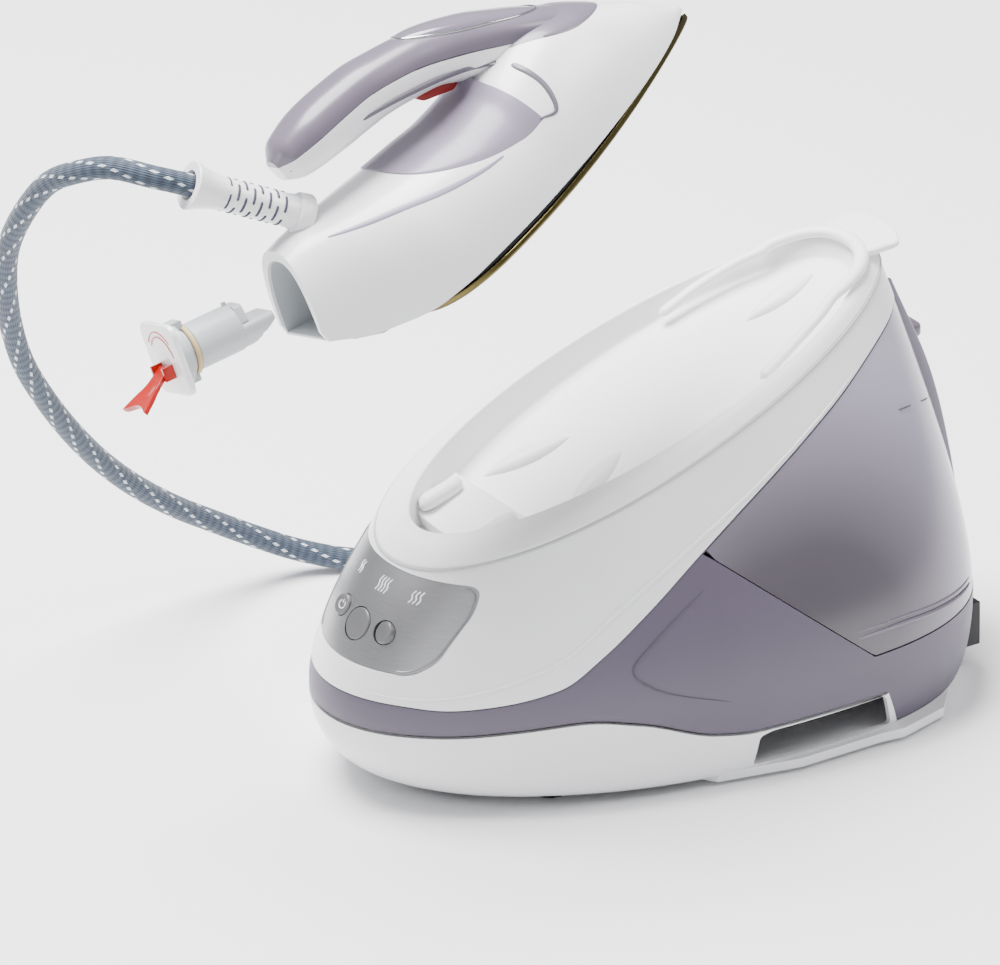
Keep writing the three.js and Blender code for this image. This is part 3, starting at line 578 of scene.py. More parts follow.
def tube(name, points, radius, material, body, sides=12, replaces=(), closed=False, flat=1.0):
    """A round bar along a list of points; an open bar of more than three points has its end rings drawn in
    to 0.55 of the radius.
    """
    points = np.asarray(points, float)
    if closed:
        tangent = np.roll(points, -1, 0) - np.roll(points, 1, 0)
    else:
        tangent = np.gradient(points, axis=0)
    tangent /= np.linalg.norm(tangent, axis=1, keepdims=True)
    up = np.array([0, 0, 1.0])
    if np.abs(tangent @ up).max() > 0.97:
        up = np.array([1.0, 0, 0])
    side = np.cross(tangent, up)
    side /= np.linalg.norm(side, axis=1, keepdims=True)
    lift = np.cross(side, tangent)
    radii = np.broadcast_to(np.asarray(radius, float), len(points)).copy()
    angle = np.linspace(0, TAU, sides, endpoint=False)
    rings = [p + r * (np.outer(np.cos(angle), s) + flat * np.outer(np.sin(angle), u))
             for p, r, s, u in zip(points, radii, side, lift)]
    if closed:
        rings = np.array(rings)
        faces = grid_faces(len(rings), sides, close_rows=True, close_columns=True)
        return make_object(name, rings.reshape(-1, 3), faces, material, body, 40, replaces)
    if len(points) > 3:
        for end, step in ((0, 1), (-1, -1)):
            back = points[end] - tangent[end] * step * radii[end] * 0.0
            rings[end] = back + (rings[end] - points[end]) * 0.55
    return loft(name, rings, material, body, 40, replaces)


def smooth_path(points, per_span=8, closed=False):
    """Points along a smooth curve that passes through each given point."""
    p = np.asarray(points, float)
    if closed:
        p = np.vstack([p[-1], p, p[0], p[1]])
    else:
        p = np.vstack([2 * p[0] - p[1], p, 2 * p[-1] - p[-2]])
    made = []
    for a, b, c, d in zip(p[:-3], p[1:-2], p[2:-1], p[3:]):
        ta, tb = np.linalg.norm(b - a) ** 0.5, np.linalg.norm(c - b) ** 0.5
        tc = np.linalg.norm(d - c) ** 0.5
        m1 = ((b - a) / ta - (c - a) / (ta + tb) + (c - b) / tb) * tb
        m2 = ((c - b) / tb - (d - b) / (tb + tc) + (d - c) / tc) * tb
        for u in np.arange(per_span) / per_span:
            made.append(b * (2 * u ** 3 - 3 * u * u + 1) + m1 * (u ** 3 - 2 * u * u + u)
                        + c * (3 * u * u - 2 * u ** 3) + m2 * (u ** 3 - u * u))
    if not closed:
        made.append(p[-2])
    return np.array(made)


# ---------------------------------------------------------------- tray

def ring_on(shape, inset, height, t=None):
    t = spread(0, TAU, 181)[:-1] if t is None else t
    x, y = outline(shape, t, inset)
    return np.stack([x, y, height(x)], -1)


def rim_line(dz):
    return lambda x: RIM_Z + RIM_SLOPE * x + dz


def tray_floor(x):
    return FLOOR_Z + FLOOR_SLOPE * x


RIM_HIGH = 9
TRAY_THICK = 2.4


def tray_underside(x):
    return tray_floor(x) - TRAY_THICK


tray_rings = [ring_on(RIM, 60, tray_underside), ring_on(RIM, 4, tray_underside),
              ring_on(RIM, -2.4, rim_line(RIM_HIGH - 2.6)), ring_on(GROOVE, 3.2, rim_line(-1)),
              ring_on(GROOVE, 3.2, rim_line(0.5)), ring_on(GROOVE, 0.4, rim_line(0.5))]
for inset, dz in ((0.3, 0.9), (0.4, 1.5), (0.8, 2.1)):
    tray_rings.append(ring_on(GROOVE, inset, rim_line(dz)))
brow = [ring_on(GROOVE, 0.9, rim_line(2.2)), ring_on(RIM, -1.6, rim_line(RIM_HIGH))]
for u in np.linspace(0.06, 0.94, 8):
    crown = 1.2 * math.sin(math.pi * u)
    mid = brow[0] * (1 - u) + brow[1] * u
    mid[:, 2] += crown
    tray_rings.append(mid)
for inset, dz in ((-1.4, 0.35), (-0.8, 0.45), (-0.2, 0.2), (0.3, -0.5)):
    tray_rings.append(ring_on(RIM, inset, rim_line(RIM_HIGH + dz)))
wall_top = ring_on(RIM, 0.5, rim_line(RIM_HIGH - 1.2))
wall_low = ring_on(RIM, 3.4, lambda x: tray_floor(x) + 2.2)
for u in np.linspace(0, 1, 7):
    tray_rings.append(wall_top * (1 - u) + wall_low * u)
for inset, dz in ((3.9, 1.2), (4.8, 0.45), (6.2, 0.08), (9, 0.0), (20, 0.0), (40, 0.0), (60, 0.0)):
    tray_rings.append(ring_on(RIM, inset, lambda x, dz=dz: tray_floor(x) + dz))
loft("iron_rest_tray_skin", tray_rings, TRAY_WHITE, "base", sharp=50, replaces=["iron_rest_tray"])


def rib(name, x0, y0, x1, y1, wide, high):
    """A low lens-shaped rib lying on the sloping tray floor."""
    long = math.hypot(x1 - x0, y1 - y0) / 2
    heading = math.atan2(y1 - y0, x1 - x0)
    slope = math.atan(FLOOR_SLOPE)
    rings = []
    for a in np.linspace(-0.999, 0.999, 33):
        half = wide / 2 * (1 - a * a)
        tall = high * (1 - a * a) ** 0.7
        ring = []
        for b in np.linspace(0, math.pi, 15):
            ring.append((a * long, half * math.cos(b), tall * math.sin(b) ** 0.8 - 0.6))
        rings.append(ring)
    rings = np.array(rings)
    x = rings[..., 0] * math.cos(heading) - rings[..., 1] * math.sin(heading)
    y = rings[..., 0] * math.sin(heading) + rings[..., 1] * math.cos(heading)
    z = rings[..., 2]
    mid_x, mid_y = (x0 + x1) / 2, (y0 + y1) / 2
    px = mid_x + x * math.cos(slope) - z * math.sin(slope)
    pz = tray_floor(mid_x) + x * math.sin(slope) + z * math.cos(slope)
    return loft(name, np.stack([px, mid_y + y, pz], -1), TRAY_WHITE, "base", sharp=60)


rib("rest_rib_left", -86, 34, -34, 17, 15, 5.4)
rib("rest_rib_right", -75, -35, -25, -19, 14, 5.4)
rib("rest_rib_rear", 74, 8, 124, 7, 14, 5.4)

# Heel stop: a saddle across the front of the tray, with two rounded lugs.
slope = math.atan(FLOOR_SLOPE)


def saddle_ring(dz, inset):
    arc = [(-136 + inset - 4 * (1 - (y / 42) ** 2), y) for y in np.linspace(-40 + inset, 40 - inset, 25)]
    flat = arc + [(-100 - inset, 41 - inset), (-100 - inset, -41 + inset)]
    return [(x * math.cos(slope) - dz * math.sin(slope), y * min(1, 1.0),
             FLOOR_Z + x * math.sin(slope) + dz * math.cos(slope)) for x, y in flat]


loft("heel_stop_saddle", [saddle_ring(0.4, 1.5), saddle_ring(8.4, 1.5), saddle_ring(9.6, 2.0),
                          saddle_ring(10.0, 3.4)], TRAY_WHITE, "base", sharp=30, replaces=["heel_stop"])
for side in (-1, 1):
    rings = []
    for u in np.linspace(0, 1, 17):
        swell = math.sqrt(max(1e-3, 1 - (2 * u - 1) ** 6))
        centre = np.array([-131 + 28 * u, side * 27, 146 + 7.5 * u])
        angle = np.linspace(0, TAU, 24, endpoint=False)
        rings.append([centre + swell * np.array([0, 5.4 * math.cos(a), 5.0 * math.sin(a)]) for a in angle])
    loft(f"heel_lug_{'right' if side < 0 else 'left'}", rings, TRAY_WHITE, "base", sharp=60)

# Shadow line that fills the joint between the tray and the upper shell.
seam_ring = ring_on(GROOVE, 0.1, rim_line(0.0))
tube("tray_seam", seam_ring, 1.0, TRAY_SEAM, "base", sides=8, closed=True)

# Lock hoop: a flattened bar round the rear of the tray, with a finger tab.
HOOP_SIDE = [(46, 49, 206.5), (58, 47.8, 213), (70, 46, 219.5), (92, 40.5, 230), (104, 35.5, 235.4),
             (112, 34.5, 238.8), (128, 27, 243.7), (137, 16, 246.5)]
hoop_line = HOOP_SIDE + [(140.5, 0, 247.4)] + [(x, -y, z) for x, y, z in reversed(HOOP_SIDE)]
hoop_path = smooth_path(hoop_line, 10)
place = np.linspace(-1, 1, len(hoop_path))
hoop_radius = 3.3 + 1.2 * np.exp(-(place / 0.35) ** 2) - 1.2 * (np.abs(place) > 0.985)
tube("lock_hoop_bar", hoop_path, hoop_radius, TRAY_WHITE, "hoop", sides=20, replaces=["lock_hoop"], flat=0.8)


def tab_ring(dz, inset):
    corners = rounded_outline([(137, -21 + inset), (158 - inset, -24.5 + inset), (163.5 - inset, -13),
                               (164.5 - inset, 0), (163.5 - inset, 13), (158 - inset, 24.5 - inset),
                               (137, 21 - inset)], 5, 5)
    return [(x, y, 244.5 + (x - 136) * 0.12 + dz) for x, y in corners]


loft("lock_hoop_tab", [tab_ring(0, 1.0), tab_ring(0.8, 0), tab_ring(3.2, 0), tab_ring(4.0, 0.9)], TRAY_WHITE,
     "hoop", sharp=30)


# ---------------------------------------------------------------- iron

# The iron's own frame: X to the nose from the nose tip, Y to the far side, Z up from the sole.
IRON_AT = np.array([31.3, 0.2, 410.8])
NOSE_DIR = np.array([0.853, 0.069, 0.517]) / np.linalg.norm([0.853, 0.069, 0.517])
SIDE_DIR = np.cross([-0.508, 0.336, 0.793], NOSE_DIR)
SIDE_DIR = SIDE_DIR / np.linalg.norm(SIDE_DIR)
IRON_AXES = np.stack([NOSE_DIR, SIDE_DIR, np.cross(NOSE_DIR, SIDE_DIR)])


def on_iron(points):
    """Points of the iron's own frame in the frame of the whole object."""
    return IRON_AT + np.asarray(points, float) @ IRON_AXES


def iron_axis(direction):
    return np.asarray(direction, float) @ IRON_AXES


SOLE_LONG = 233
SOLE_HALF = 57
WIDEST = 0.72


def sole_half(x):
    u = -np.asarray(x, float) / SOLE_LONG
    front = SOLE_HALF * np.sin(math.pi / 2 * np.clip(u / WIDEST, 0, 1)) ** 0.85
    rear = SOLE_HALF * (1 - np.clip((u - WIDEST) / (1 - WIDEST), 0, 1) ** 2.6) ** (1 / 2.6)
    return np.where(u < WIDEST, front, rear)


def plate_ring(inset, z, count=90):
    x = -SOLE_LONG * (0.5 - 0.5 * np.cos(np.linspace(0, math.pi, count)))
    y = sole_half(x) * (SOLE_HALF - inset) / SOLE_HALF
    mid = -SOLE_LONG * 0.55
    x = mid + (x - mid) * (1 - inset / 120)
    x, y = np.concatenate([x, x[-2:0:-1]]), np.concatenate([y, -y[-2:0:-1]])
    return np.stack([x, y, np.full_like(x, z)], -1)


sole_rings = [plate_ring(3.4, 0), plate_ring(1.6, 0.35), plate_ring(0.5, 1.0), plate_ring(0, 2.0),
              plate_ring(0, 4.0), plate_ring(0.4, 4.4), plate_ring(4, 4.4)]
loft("soleplate_skin", [on_iron(r) for r in sole_rings], SOLE, "iron", sharp=25, replaces=["soleplate"])
loft("heat_shield_skin", [on_iron(plate_ring(2.2, 4.7)), on_iron(plate_ring(2.2, 7.9))], DARK, "iron",
     replaces=["heat_shield"])
# Steam holes round the front of the sole, each a dark disc: painted shade inside the hole.
HOLE_R = 1.9
for side in (-1, 1):
    for k in range(9):
        x = -30 - 17 * k
        y = side * max(0.0, float(sole_half(x)) - 11)
        word = "near" if side < 0 else "far"
        turned(f"steam_hole_{word}_{k + 1}", [(0, -0.05), (HOLE_R, -0.05), (HOLE_R, 0.3), (0, 0.3)],
               on_iron((x, y, -0.02)), iron_axis((0, 0, 1)), DARK, "iron", sides=16)

BODY_LOW = smooth_table([(0, 7.8), (-200, 7.8), (-225, 8.2), (-262, 18), (-285, 33)])
BODY_TOP = smooth_table([(0, 11), (-5, 15), (-20, 33), (-33, 45), (-58, 66), (-90, 76), (-118, 72),
                         (-132, 68), (-150, 67.5), (-170, 70), (-190, 72.5), (-230, 79), (-262, 83.5),
                         (-285, 82)])
BODY_HALF = smooth_table([(0, 2), (-6, 8), (-20, 21), (-45, 35), (-80, 47), (-120, 55), (-160, 58),
                          (-200, 56), (-230, 48), (-255, 37), (-285, 27)])


def arch(x, inset=0.0, count=72):
    a = np.linspace(0, math.pi, count)
    low, high = float(BODY_LOW(x)), float(BODY_TOP(x)) - inset
    y = (float(BODY_HALF(x)) - inset) * signed_power(np.cos(a), 0.75)
    z = low + (high - low) * np.sin(a) ** 0.8
    return on_iron(np.stack([np.full_like(a, x), y, z], -1))


iron_x = np.concatenate([-np.array([0.5, 1.5, 3, 5, 7.5, 10.5]), np.linspace(-14, -285, 75)])
iron_rings = [arch(x) for x in iron_x]
iron_body = loft("iron_body_skin", iron_rings, WHITE, "iron", sharp=45, replaces=["iron_body"])

DIP = math.radians(21)
BORE_AT = np.array([-282.0, 0, 57])
BORE_DIR = np.array([math.cos(DIP), 0, -math.sin(DIP)])
BORE_DOWN = np.array([-math.sin(DIP), 0, -math.cos(DIP)])
HEEL_CUT = 3.2


def on_bore(points, out=0.0):
    """Points given as (down, across, inwards) from the mouth of the collector's bore."""
    p = np.asarray(points, float)
    down, across, inwards = p[:, 0], p[:, 1], p[:, 2] - out
    local = BORE_AT + np.outer(down, BORE_DOWN) + np.outer(across, [0, 1, 0]) + np.outer(inwards, BORE_DIR)
    return on_iron(local)


def bore_turned(name, profile, material, body, out=0.0, **more):
    return turned(name, profile, on_bore([(0, 0, 0)], out)[0], iron_axis(BORE_DIR), material, body, **more)


def bore_loft(name, outline_points, heights, material, body, out=0.0, **more):
    rings = []
    for z, scale in heights:
        rings.append(on_bore([(x * scale, y * scale, z) for x, y in outline_points], out))
    return loft(name, rings, material, body, **more)


SQUARE = [(-90, -90), (90, -90), (90, 90), (-90, 90)]
boolean(iron_body, bore_loft("cutter", SQUARE, [(-90, 1), (HEEL_CUT, 1)], DARK, None))
MOUTH = []
for a in np.linspace(0, math.pi, 49):
    mouth_y = 24.4 * float(signed_power(math.cos(a), 0.75))
    mouth_z = 36 + 43.4 * math.sin(a) ** 0.8
    MOUTH.append(((BORE_AT[2] - mouth_z) / math.cos(DIP), mouth_y))
boolean(iron_body, bore_loft("cutter", MOUTH, [(-10, 1.0), (30, 0.94)], DARK, None))
TUBE_IN, TUBE_OUT = 18.3, 20.6
TUBE_START, TUBE_END, LINER_END = 30, 68, 70
hole = [(0, 20), (TUBE_OUT + 0.2, 20), (TUBE_OUT + 0.2, LINER_END + 0.2), (0, LINER_END + 0.2)]
boolean(iron_body, bore_turned("cutter", hole, DARK, None, sides=48))
finish_object(iron_body, WHITE, None, sharp=45)
rings = []
for z, share in ((HEEL_CUT + 1.6, 0.995), (30, 0.935), (30, 0.87), (HEEL_CUT + 1.6, 0.945)):
    rings.append(on_bore([(x * share, y * share, z) for x, y in MOUTH]))
faces = grid_faces(4, len(MOUTH), close_rows=True, close_columns=True)
make_object("collector_liner_skin", np.reshape(rings, (-1, 3)), faces, PALE, "iron", 30, ["collector_liner"])
END_IN, END_OUT = 14.6, 24
end_rows = [(END_IN, 29), (END_OUT, 29), (END_OUT, TUBE_START), (END_IN, TUBE_START), (END_IN, 29)]
bore_turned("collector_liner_end", end_rows, GREY, "iron", sides=48)
tube_rows = [(TUBE_IN, TUBE_START), (TUBE_OUT, TUBE_START), (TUBE_OUT, TUBE_END), (TUBE_IN, TUBE_END),
             (TUBE_IN, TUBE_START)]
bore_turned("collector_liner_tube", tube_rows, GREY, "iron", sides=48)
floor_rows = [(0, TUBE_END), (TUBE_OUT, TUBE_END), (TUBE_OUT, LINER_END), (0, LINER_END)]
bore_turned("collector_liner_floor", floor_rows, DARK, "iron", sides=48)

# Foot under the heel, between the lugs of the tray.
HEEL_FOOT = [(-274, 25), (-271, 20.5), (-256, 10.5), (-247, 8.6), (-243, 11), (-262, 24)]
foot_rings = []
for y, share in ((-21, 0.9), (-20, 1), (20, 1), (21, 0.9)):
    centre = np.mean(HEEL_FOOT, axis=0)
    foot_rings.append(on_iron([(x, y, z) for x, z in centre + (np.array(HEEL_FOOT) - centre) * share]))
loft("heel_foot", foot_rings, PALE, "iron", sharp=30)

# Handle: a cantilever from the front, a lilac top over a white underside.
HANDLE_TOP = smooth_table([(-36, 48), (-58, 67), (-80, 84), (-100, 99), (-130, 115), (-150, 122),
                           (-172, 128), (-205, 131), (-228, 128), (-237, 121)])
HANDLE_LOW = smooth_table([(-36, 40), (-58, 48), (-80, 56), (-100, 62), (-117, 69), (-127, 75), (-135, 80.5),
                           (-150, 86), (-172, 92), (-205, 96.5), (-228, 101), (-237, 107)])
HANDLE_HALF = smooth_table([(-36, 8), (-58, 20), (-80, 23), (-100, 21), (-130, 18.5), (-172, 20), (-205, 20),
                            (-228, 16), (-237, 7)])
HANDLE_SPLIT = smooth_table([(-30, 44), (-80, 66), (-120, 90), (-150, 105), (-180, 113), (-240, 117)])
handle_x = np.concatenate([np.linspace(-36.5, -225, 62), -np.array([228, 231, 233.5, 235.2, 236.3, 236.9])])


def handle_point(x, angle, lift=0.0):
    low, high = HANDLE_LOW(x), HANDLE_TOP(x)
    y = (HANDLE_HALF(x) + lift) * signed_power(np.cos(angle), 0.85)
    z = (low + high) / 2 + ((high - low) / 2 + lift) * signed_power(np.sin(angle), 0.85)
    return np.stack(np.broadcast_arrays(x, y, z), -1)


def half_handle(name, material, upper, node):
    rings = []
    for x in handle_x:
        low, high, cut = float(HANDLE_LOW(x)), float(HANDLE_TOP(x)), float(HANDLE_SPLIT(x))
        sine = np.clip((cut - (low + high) / 2) / ((high - low) / 2), -0.97, 0.97)
        start = math.asin(signed_power(sine, 1 / 0.85))
        gap = 0.012
        if upper:
            angle = np.linspace(start + gap, math.pi - start - gap, 40)
        else:
            angle = np.linspace(math.pi - start + gap, TAU + start - gap, 40)
        ring = handle_point(np.full(40, x), angle)
        inner = ring[[-1, 0]].mean(0)
        deep = ring[[-1, 0]] * 0.9 + inner * 0.1
        rings.append(on_iron(np.vstack([ring, deep])))
    return loft(name, rings, material, "iron", sharp=40, replaces=[node])


half_handle("handle_top_skin", MAUVE, True, "handle_top")
half_handle("handle_lower_skin", WHITE, False, "handle_lower")

# Glossy steam-boost key on the handle's crown, in a chrome ring.
CROWN = (-137, -64)


def crown_half_angle(u):
    return 0.86 * np.sqrt(np.maximum(1 - (2 * u - 1) ** 2, 0)) ** 0.9


def crown_rings(lift, shrink, count=41):
    rings = []
    for u in np.linspace(0.004, 0.996, count):
        x = CROWN[0] + (CROWN[1] - CROWN[0]) * (0.5 + (u - 0.5) * shrink)
        half = float(crown_half_angle(u)) * shrink
        across = np.linspace(-1, 1, 17)
        dome = lift * (1 - across ** 4) * (1 - (2 * u - 1) ** 6)
        rings.append((x, math.pi / 2 + half * across, dome))
    return rings


top, under = [], []
for x, angle, dome in crown_rings(2.0, 1.0):
    top.append(on_iron(handle_point(np.full(17, x), angle, dome + 0.05)))
    under.append(on_iron(handle_point(np.full(17, x), angle, -1.5 + 0 * dome)))
solid = [np.vstack([a, b[::-1]]) for a, b in zip(top, under)]
loft("boost_key", solid, MAUVE_GLOSS, "turbo_key", sharp=50, replaces=["top_button"])
far_edge, near_edge = [], []
for x, angle, _ in crown_rings(0, 1.0):
    far_edge.append(on_iron(handle_point(np.array([x]), np.array([angle[-1]]), 0.15))[0])
    near_edge.append(on_iron(handle_point(np.array([x]), np.array([angle[0]]), 0.15))[0])
tube("boost_key_ring", far_edge + near_edge[::-1], 0.8, CHROME, "iron", sides=10, closed=True)

# Trigger under the handle: a red key with rounded edges that follows the underside.
TRIGGER_SIDE = [(-150.5, 85), (-148.5, 81.8), (-131, 73.8), (-127.2, 74.8), (-126.8, 82), (-150.5, 91.5)]
trigger_side = rounded_outline(TRIGGER_SIDE, 1.6, 6)
trigger_mid = np.mean(trigger_side, axis=0)
trigger_rings = []
for y, scale in ((-6.4, 0.9), (-6.1, 0.96), (-5.4, 1), (5.4, 1), (6.1, 0.96), (6.4, 0.9)):
    ring = trigger_mid + (np.array(trigger_side) - trigger_mid) * scale
    trigger_rings.append(on_iron([(x, y, z) for x, z in ring]))
loft("steam_trigger_key", trigger_rings, TRIGGER_RED, "trigger", sharp=50, replaces=["steam_trigger"])


def deck_height(x, y):
    """Height of the iron's white body above the sole at (x, y)."""
    half, low, high = float(BODY_HALF(x)), float(BODY_LOW(x)), float(BODY_TOP(x))
    c = min(0.999, abs(y) / half) ** (1 / 0.75)
    return low + (high - low) * math.sin(math.acos(c)) ** 0.8


def on_deck(x, y, lift):
    return (x, y, deck_height(x, y) + lift)


# Lilac well under the hand: it lies on the deck and flares up into the stem of the handle. Its lilac is the
# mauve made lighter, painted light on its upward face.
WELL_REAR = -195
WELL_FRONT = -116.5
STEM_X = -117
STEM_RISE = 8


WELL_HALF = 51
WELL_WIDEST = -130
WELL_END_SHAPE = 0.3


def well_half(x):
    """Half width of the well's rim: round at the rear, nearly straight along the sides."""
    u = (x - WELL_WIDEST) / (WELL_REAR - WELL_WIDEST)
    return WELL_HALF * max(1e-4, 1 - u * u) ** WELL_END_SHAPE


def stem_rise(x, y):
    """Extra height of the flare over the deck."""
    far = math.hypot((x - STEM_X) / 10, y / 13)
    return STEM_RISE * math.exp(-far ** 1.7)


well_grid = []
for u in np.linspace(0, 1, 64):
    x = WELL_REAR + 0.15 + (WELL_FRONT - WELL_REAR - 0.15) * (1 - math.cos(math.pi / 2 * u))
    half = well_half(x)
    row_top, row_low = [], []
    for v in np.sin(np.linspace(-1, 1, 49) * math.pi / 2):
        y = half * v
        bow = 5.5 * (1 - v * v) * u ** 8
        edge = min(1, (1 - abs(v)) * 24, u * 24)
        row_top.append(on_deck(x - bow, y, 0.25 + 0.55 * edge + stem_rise(x - bow, y)))
        row_low.append(on_deck(x - bow, y, -1.2))
    well_grid.append(on_iron(row_top + row_low[::-1]))
loft("well_cover_skin", well_grid, WELL_LILAC_PAINTED_LIGHT, "iron", sharp=50, replaces=["well_cover"])

# Lilac cap that carries the handle's colour on to the body behind the nose.
CAP_MIDDLE, CAP_HALF_LENGTH, CAP_HALF_WIDTH = -71, 34.5, 31
cap_rings = []
for x in np.linspace(-104, -38.1, 60):
    half = CAP_HALF_WIDTH * math.sqrt(1 - ((x - CAP_MIDDLE) / CAP_HALF_LENGTH) ** 2)
    row_top = [on_deck(x, half * v, 0.05 + 0.5 * min(1, (1 - abs(v)) * 12)) for v in np.linspace(-1, 1, 41)]
    row_low = [on_deck(x, half * v, -1.5) for v in np.linspace(1, -1, 41)]
    cap_rings.append(on_iron(row_top + row_low))
loft("handle_front_cap", cap_rings, MAUVE, "iron", sharp=50)

# Trim lines: one along the deck, one along the handle that turns round the front of the opening.
DECK_LINE_REAR, DECK_LINE_LONG = -246, 98
DECK_LINE_OUT, DECK_LINE_SPREAD = 51, 27
DECK_LINE = []
for u in np.linspace(0, 1, 9):
    half = DECK_LINE_OUT - DECK_LINE_SPREAD * (1 - u) ** 1.9
    DECK_LINE.append((DECK_LINE_REAR + DECK_LINE_LONG * u, half))
LOOP_ON_BODY = [(-108, 18), (-103, 34), (-102, 45), (-108, 50), (-118, 50)]
LOOP_ON_HANDLE = [(-234, 0.6), (-180, 0.53), (-124, 0.48)]


def deck_normal(x, y):
    step = 0.4
    dx = (deck_height(x + step, y) - deck_height(x - step, y)) / (2 * step)
    dy = (deck_height(x, y + step) - deck_height(x, y - step)) / (2 * step)
    return (-dx, -dy, 1.0)


def handle_side(x, share, side):
    """Point and normal on the side of the handle, at a share of the height below the split."""
    low, high, cut = float(HANDLE_LOW(x)), float(HANDLE_TOP(x)), float(HANDLE_SPLIT(x))
    sine = (low + (cut - low) * share - (low + high) / 2) / ((high - low) / 2)
    angle = math.asin(signed_power(np.clip(sine, -0.97, 0.97), 1 / 0.85))
    angle = angle if side > 0 else math.pi - angle
    spot = np.array([x]), np.array([angle])
    here = handle_point(*spot)[0]
    along = handle_point(spot[0] + 0.5, spot[1])[0] - here
    around = handle_point(spot[0], spot[1] + 0.02)[0] - here
    out = np.cross(along, around)
    return here, out * np.sign(out[1] * side)


def ribbon(name, points, normals, width, material, body, thick=0.45):
    """A flat strip of elliptical section that lies on the surface with these normals."""
    line, out = smooth_path(points, 8), smooth_path(normals, 8)
    tangent = np.gradient(line, axis=0)
    tangent /= np.linalg.norm(tangent, axis=1, keepdims=True)
    out -= tangent * np.sum(out * tangent, axis=1, keepdims=True)
    out /= np.linalg.norm(out, axis=1, keepdims=True)
    across = np.cross(tangent, out)
    wide = tapered(len(line), width)
    angle = np.linspace(0, TAU, 16, endpoint=False)
    rings = []
    for here, side, up, half in zip(line, across, out, wide):
        section = half * np.outer(np.cos(angle), side) + thick * np.outer(np.sin(angle), up)
        rings.append(on_iron(here + section))
    return loft(name, rings, material, body, sharp=60)


def tapered(count, wide, ends=0.05):
    return wide * np.sin(np.linspace(ends, math.pi - ends, count)) ** 0.5


for side, word in ((-1, "near"), (1, "far")):
    line = [on_deck(x, side * y, 0.05) for x, y in DECK_LINE]
    out = [deck_normal(x, side * y) for x, y in DECK_LINE]
    ribbon(f"deck_stripe_{word}", line, out, 2.0, STRIPE, "iron")
    line, out = zip(*[handle_side(x, share, side) for x, share in LOOP_ON_HANDLE])
    line, out = list(line), [n / np.linalg.norm(n) for n in out]
    line += [on_deck(x, side * y, 0.05) for x, y in LOOP_ON_BODY]
    for x, y in LOOP_ON_BODY:
        normal = np.array(deck_normal(x, side * y))
        out.append(normal / np.linalg.norm(normal))
    ribbon(f"handle_stripe_{word}", line, out, 1.9, LOOP_LILAC, "iron", 0.7)


# ---------------------------------------------------------------- scale collector, drawn out

OUT = 77
plate = rounded_outline([(-21, -21), (21, -21), (21, 21), (-21, 21)], 8, 8)
plate_rows = [(-0.8, 0.94), (-0.4, 0.985), (0.4, 1), (2.0, 1), (2.6, 0.985)]
bore_loft("collector_plate_skin", plate, plate_rows, MILK, "collector", OUT, sharp=30,
          replaces=["collector_plate"])
for k, radius in enumerate((13.5, 16.5)):
    arc = []
    for a in np.linspace(math.radians(125), math.radians(262 - 30 * k), 40):
        arc.append((radius * math.cos(a), radius * math.sin(a), -0.85))
    tube(f"collector_arc_{k + 1}", on_bore(arc, OUT), 0.4, RED, "collector", sides=8)
body_rows = [(0, 3), (16.8, 3), (17.5, 3.7), (17.5, 8.4), (16.8, 9), (14.2, 9), (13.5, 9.6), (13.5, 11.6),
             (12.4, 12), (12.4, 15.4), (13.5, 15.8), (13.5, 43.4), (12.9, 44), (0, 44)]
bore_turned("collector_body_skin", body_rows, PALE, "collector", OUT, replaces=["collector_body"])
HALF_TIP = [(x, y) for x, y in rounded_outline([(-2, -13.2), (5, -12.6), (12.6, -5), (12.6, 5), (5, 12.6),
                                                (-2, 13.2)], 4, 6)]
TIP_ROOT, TIP_FULL, TIP_LONG = 43, 50, 14
tip_rings = [on_bore([(x, y, z) for x, y in HALF_TIP], OUT) for z in (TIP_ROOT, TIP_FULL)]
for u in np.linspace(0.15, 1, 7):
    cut_back = [(min(x, 13 - 10.5 * u), y * (1 - 0.12 * u), TIP_FULL + TIP_LONG * u) for x, y in HALF_TIP]
    tip_rings.append(on_bore(cut_back, OUT))
loft("collector_tip", tip_rings, PALE, "collector", sharp=35)
fin = [(-15.4, -1.2), (-2, -1.2), (-2, 1.2), (-15.4, 1.2)]
bore_loft("collector_fin", fin, [(41.5, 1), (43.6, 1)], PALE, "collector", OUT, sharp=30)
shelf = rounded_outline([(-12.4, -7.5), (-1.8, -11), (-1.8, 11), (-12.4, 7.5)], 2, 5)
bore_loft("collector_shelf", shelf, [(44, 1), (49, 1), (50, 0.8)], PALE, "collector", OUT, sharp=30)
seal_rows = [(12.5, 12.4), (14.2, 12.2), (14.9, 12.9), (14.9, 14.4), (14.2, 15.1), (12.5, 15.0),
             (12.5, 12.4)]
bore_turned("collector_seal_skin", seal_rows, BEIGE, "collector", OUT, replaces=["collector_seal"])
for k, turn in enumerate((1, -1)):
    lug = [(turn * x, turn * y) for x, y in ((-17.8, -5), (-13, -5), (-13, 5), (-17.8, 5))]
    bore_loft(f"collector_lug_{k + 1}", lug, [(6, 1), (6.5, 1), (13.2, 1), (13.8, 0.97)], PALE,
              "collector", OUT, sharp=30)

# Release lever: a flared red tongue with a hollow end and two points.
LEVER_ANGLE = math.radians(58)
LEVER_AT = (6, 0, -4.6)
LEVER_HALF = smooth_table([(-3, 6), (4, 6.2), (10, 7.2), (18, 11.2), (27, 14.5)])


def on_lever(x, y, z):
    return (LEVER_AT[0] + x * math.cos(LEVER_ANGLE) + z * math.sin(LEVER_ANGLE), y,
            LEVER_AT[2] - x * math.sin(LEVER_ANGLE) + z * math.cos(LEVER_ANGLE))


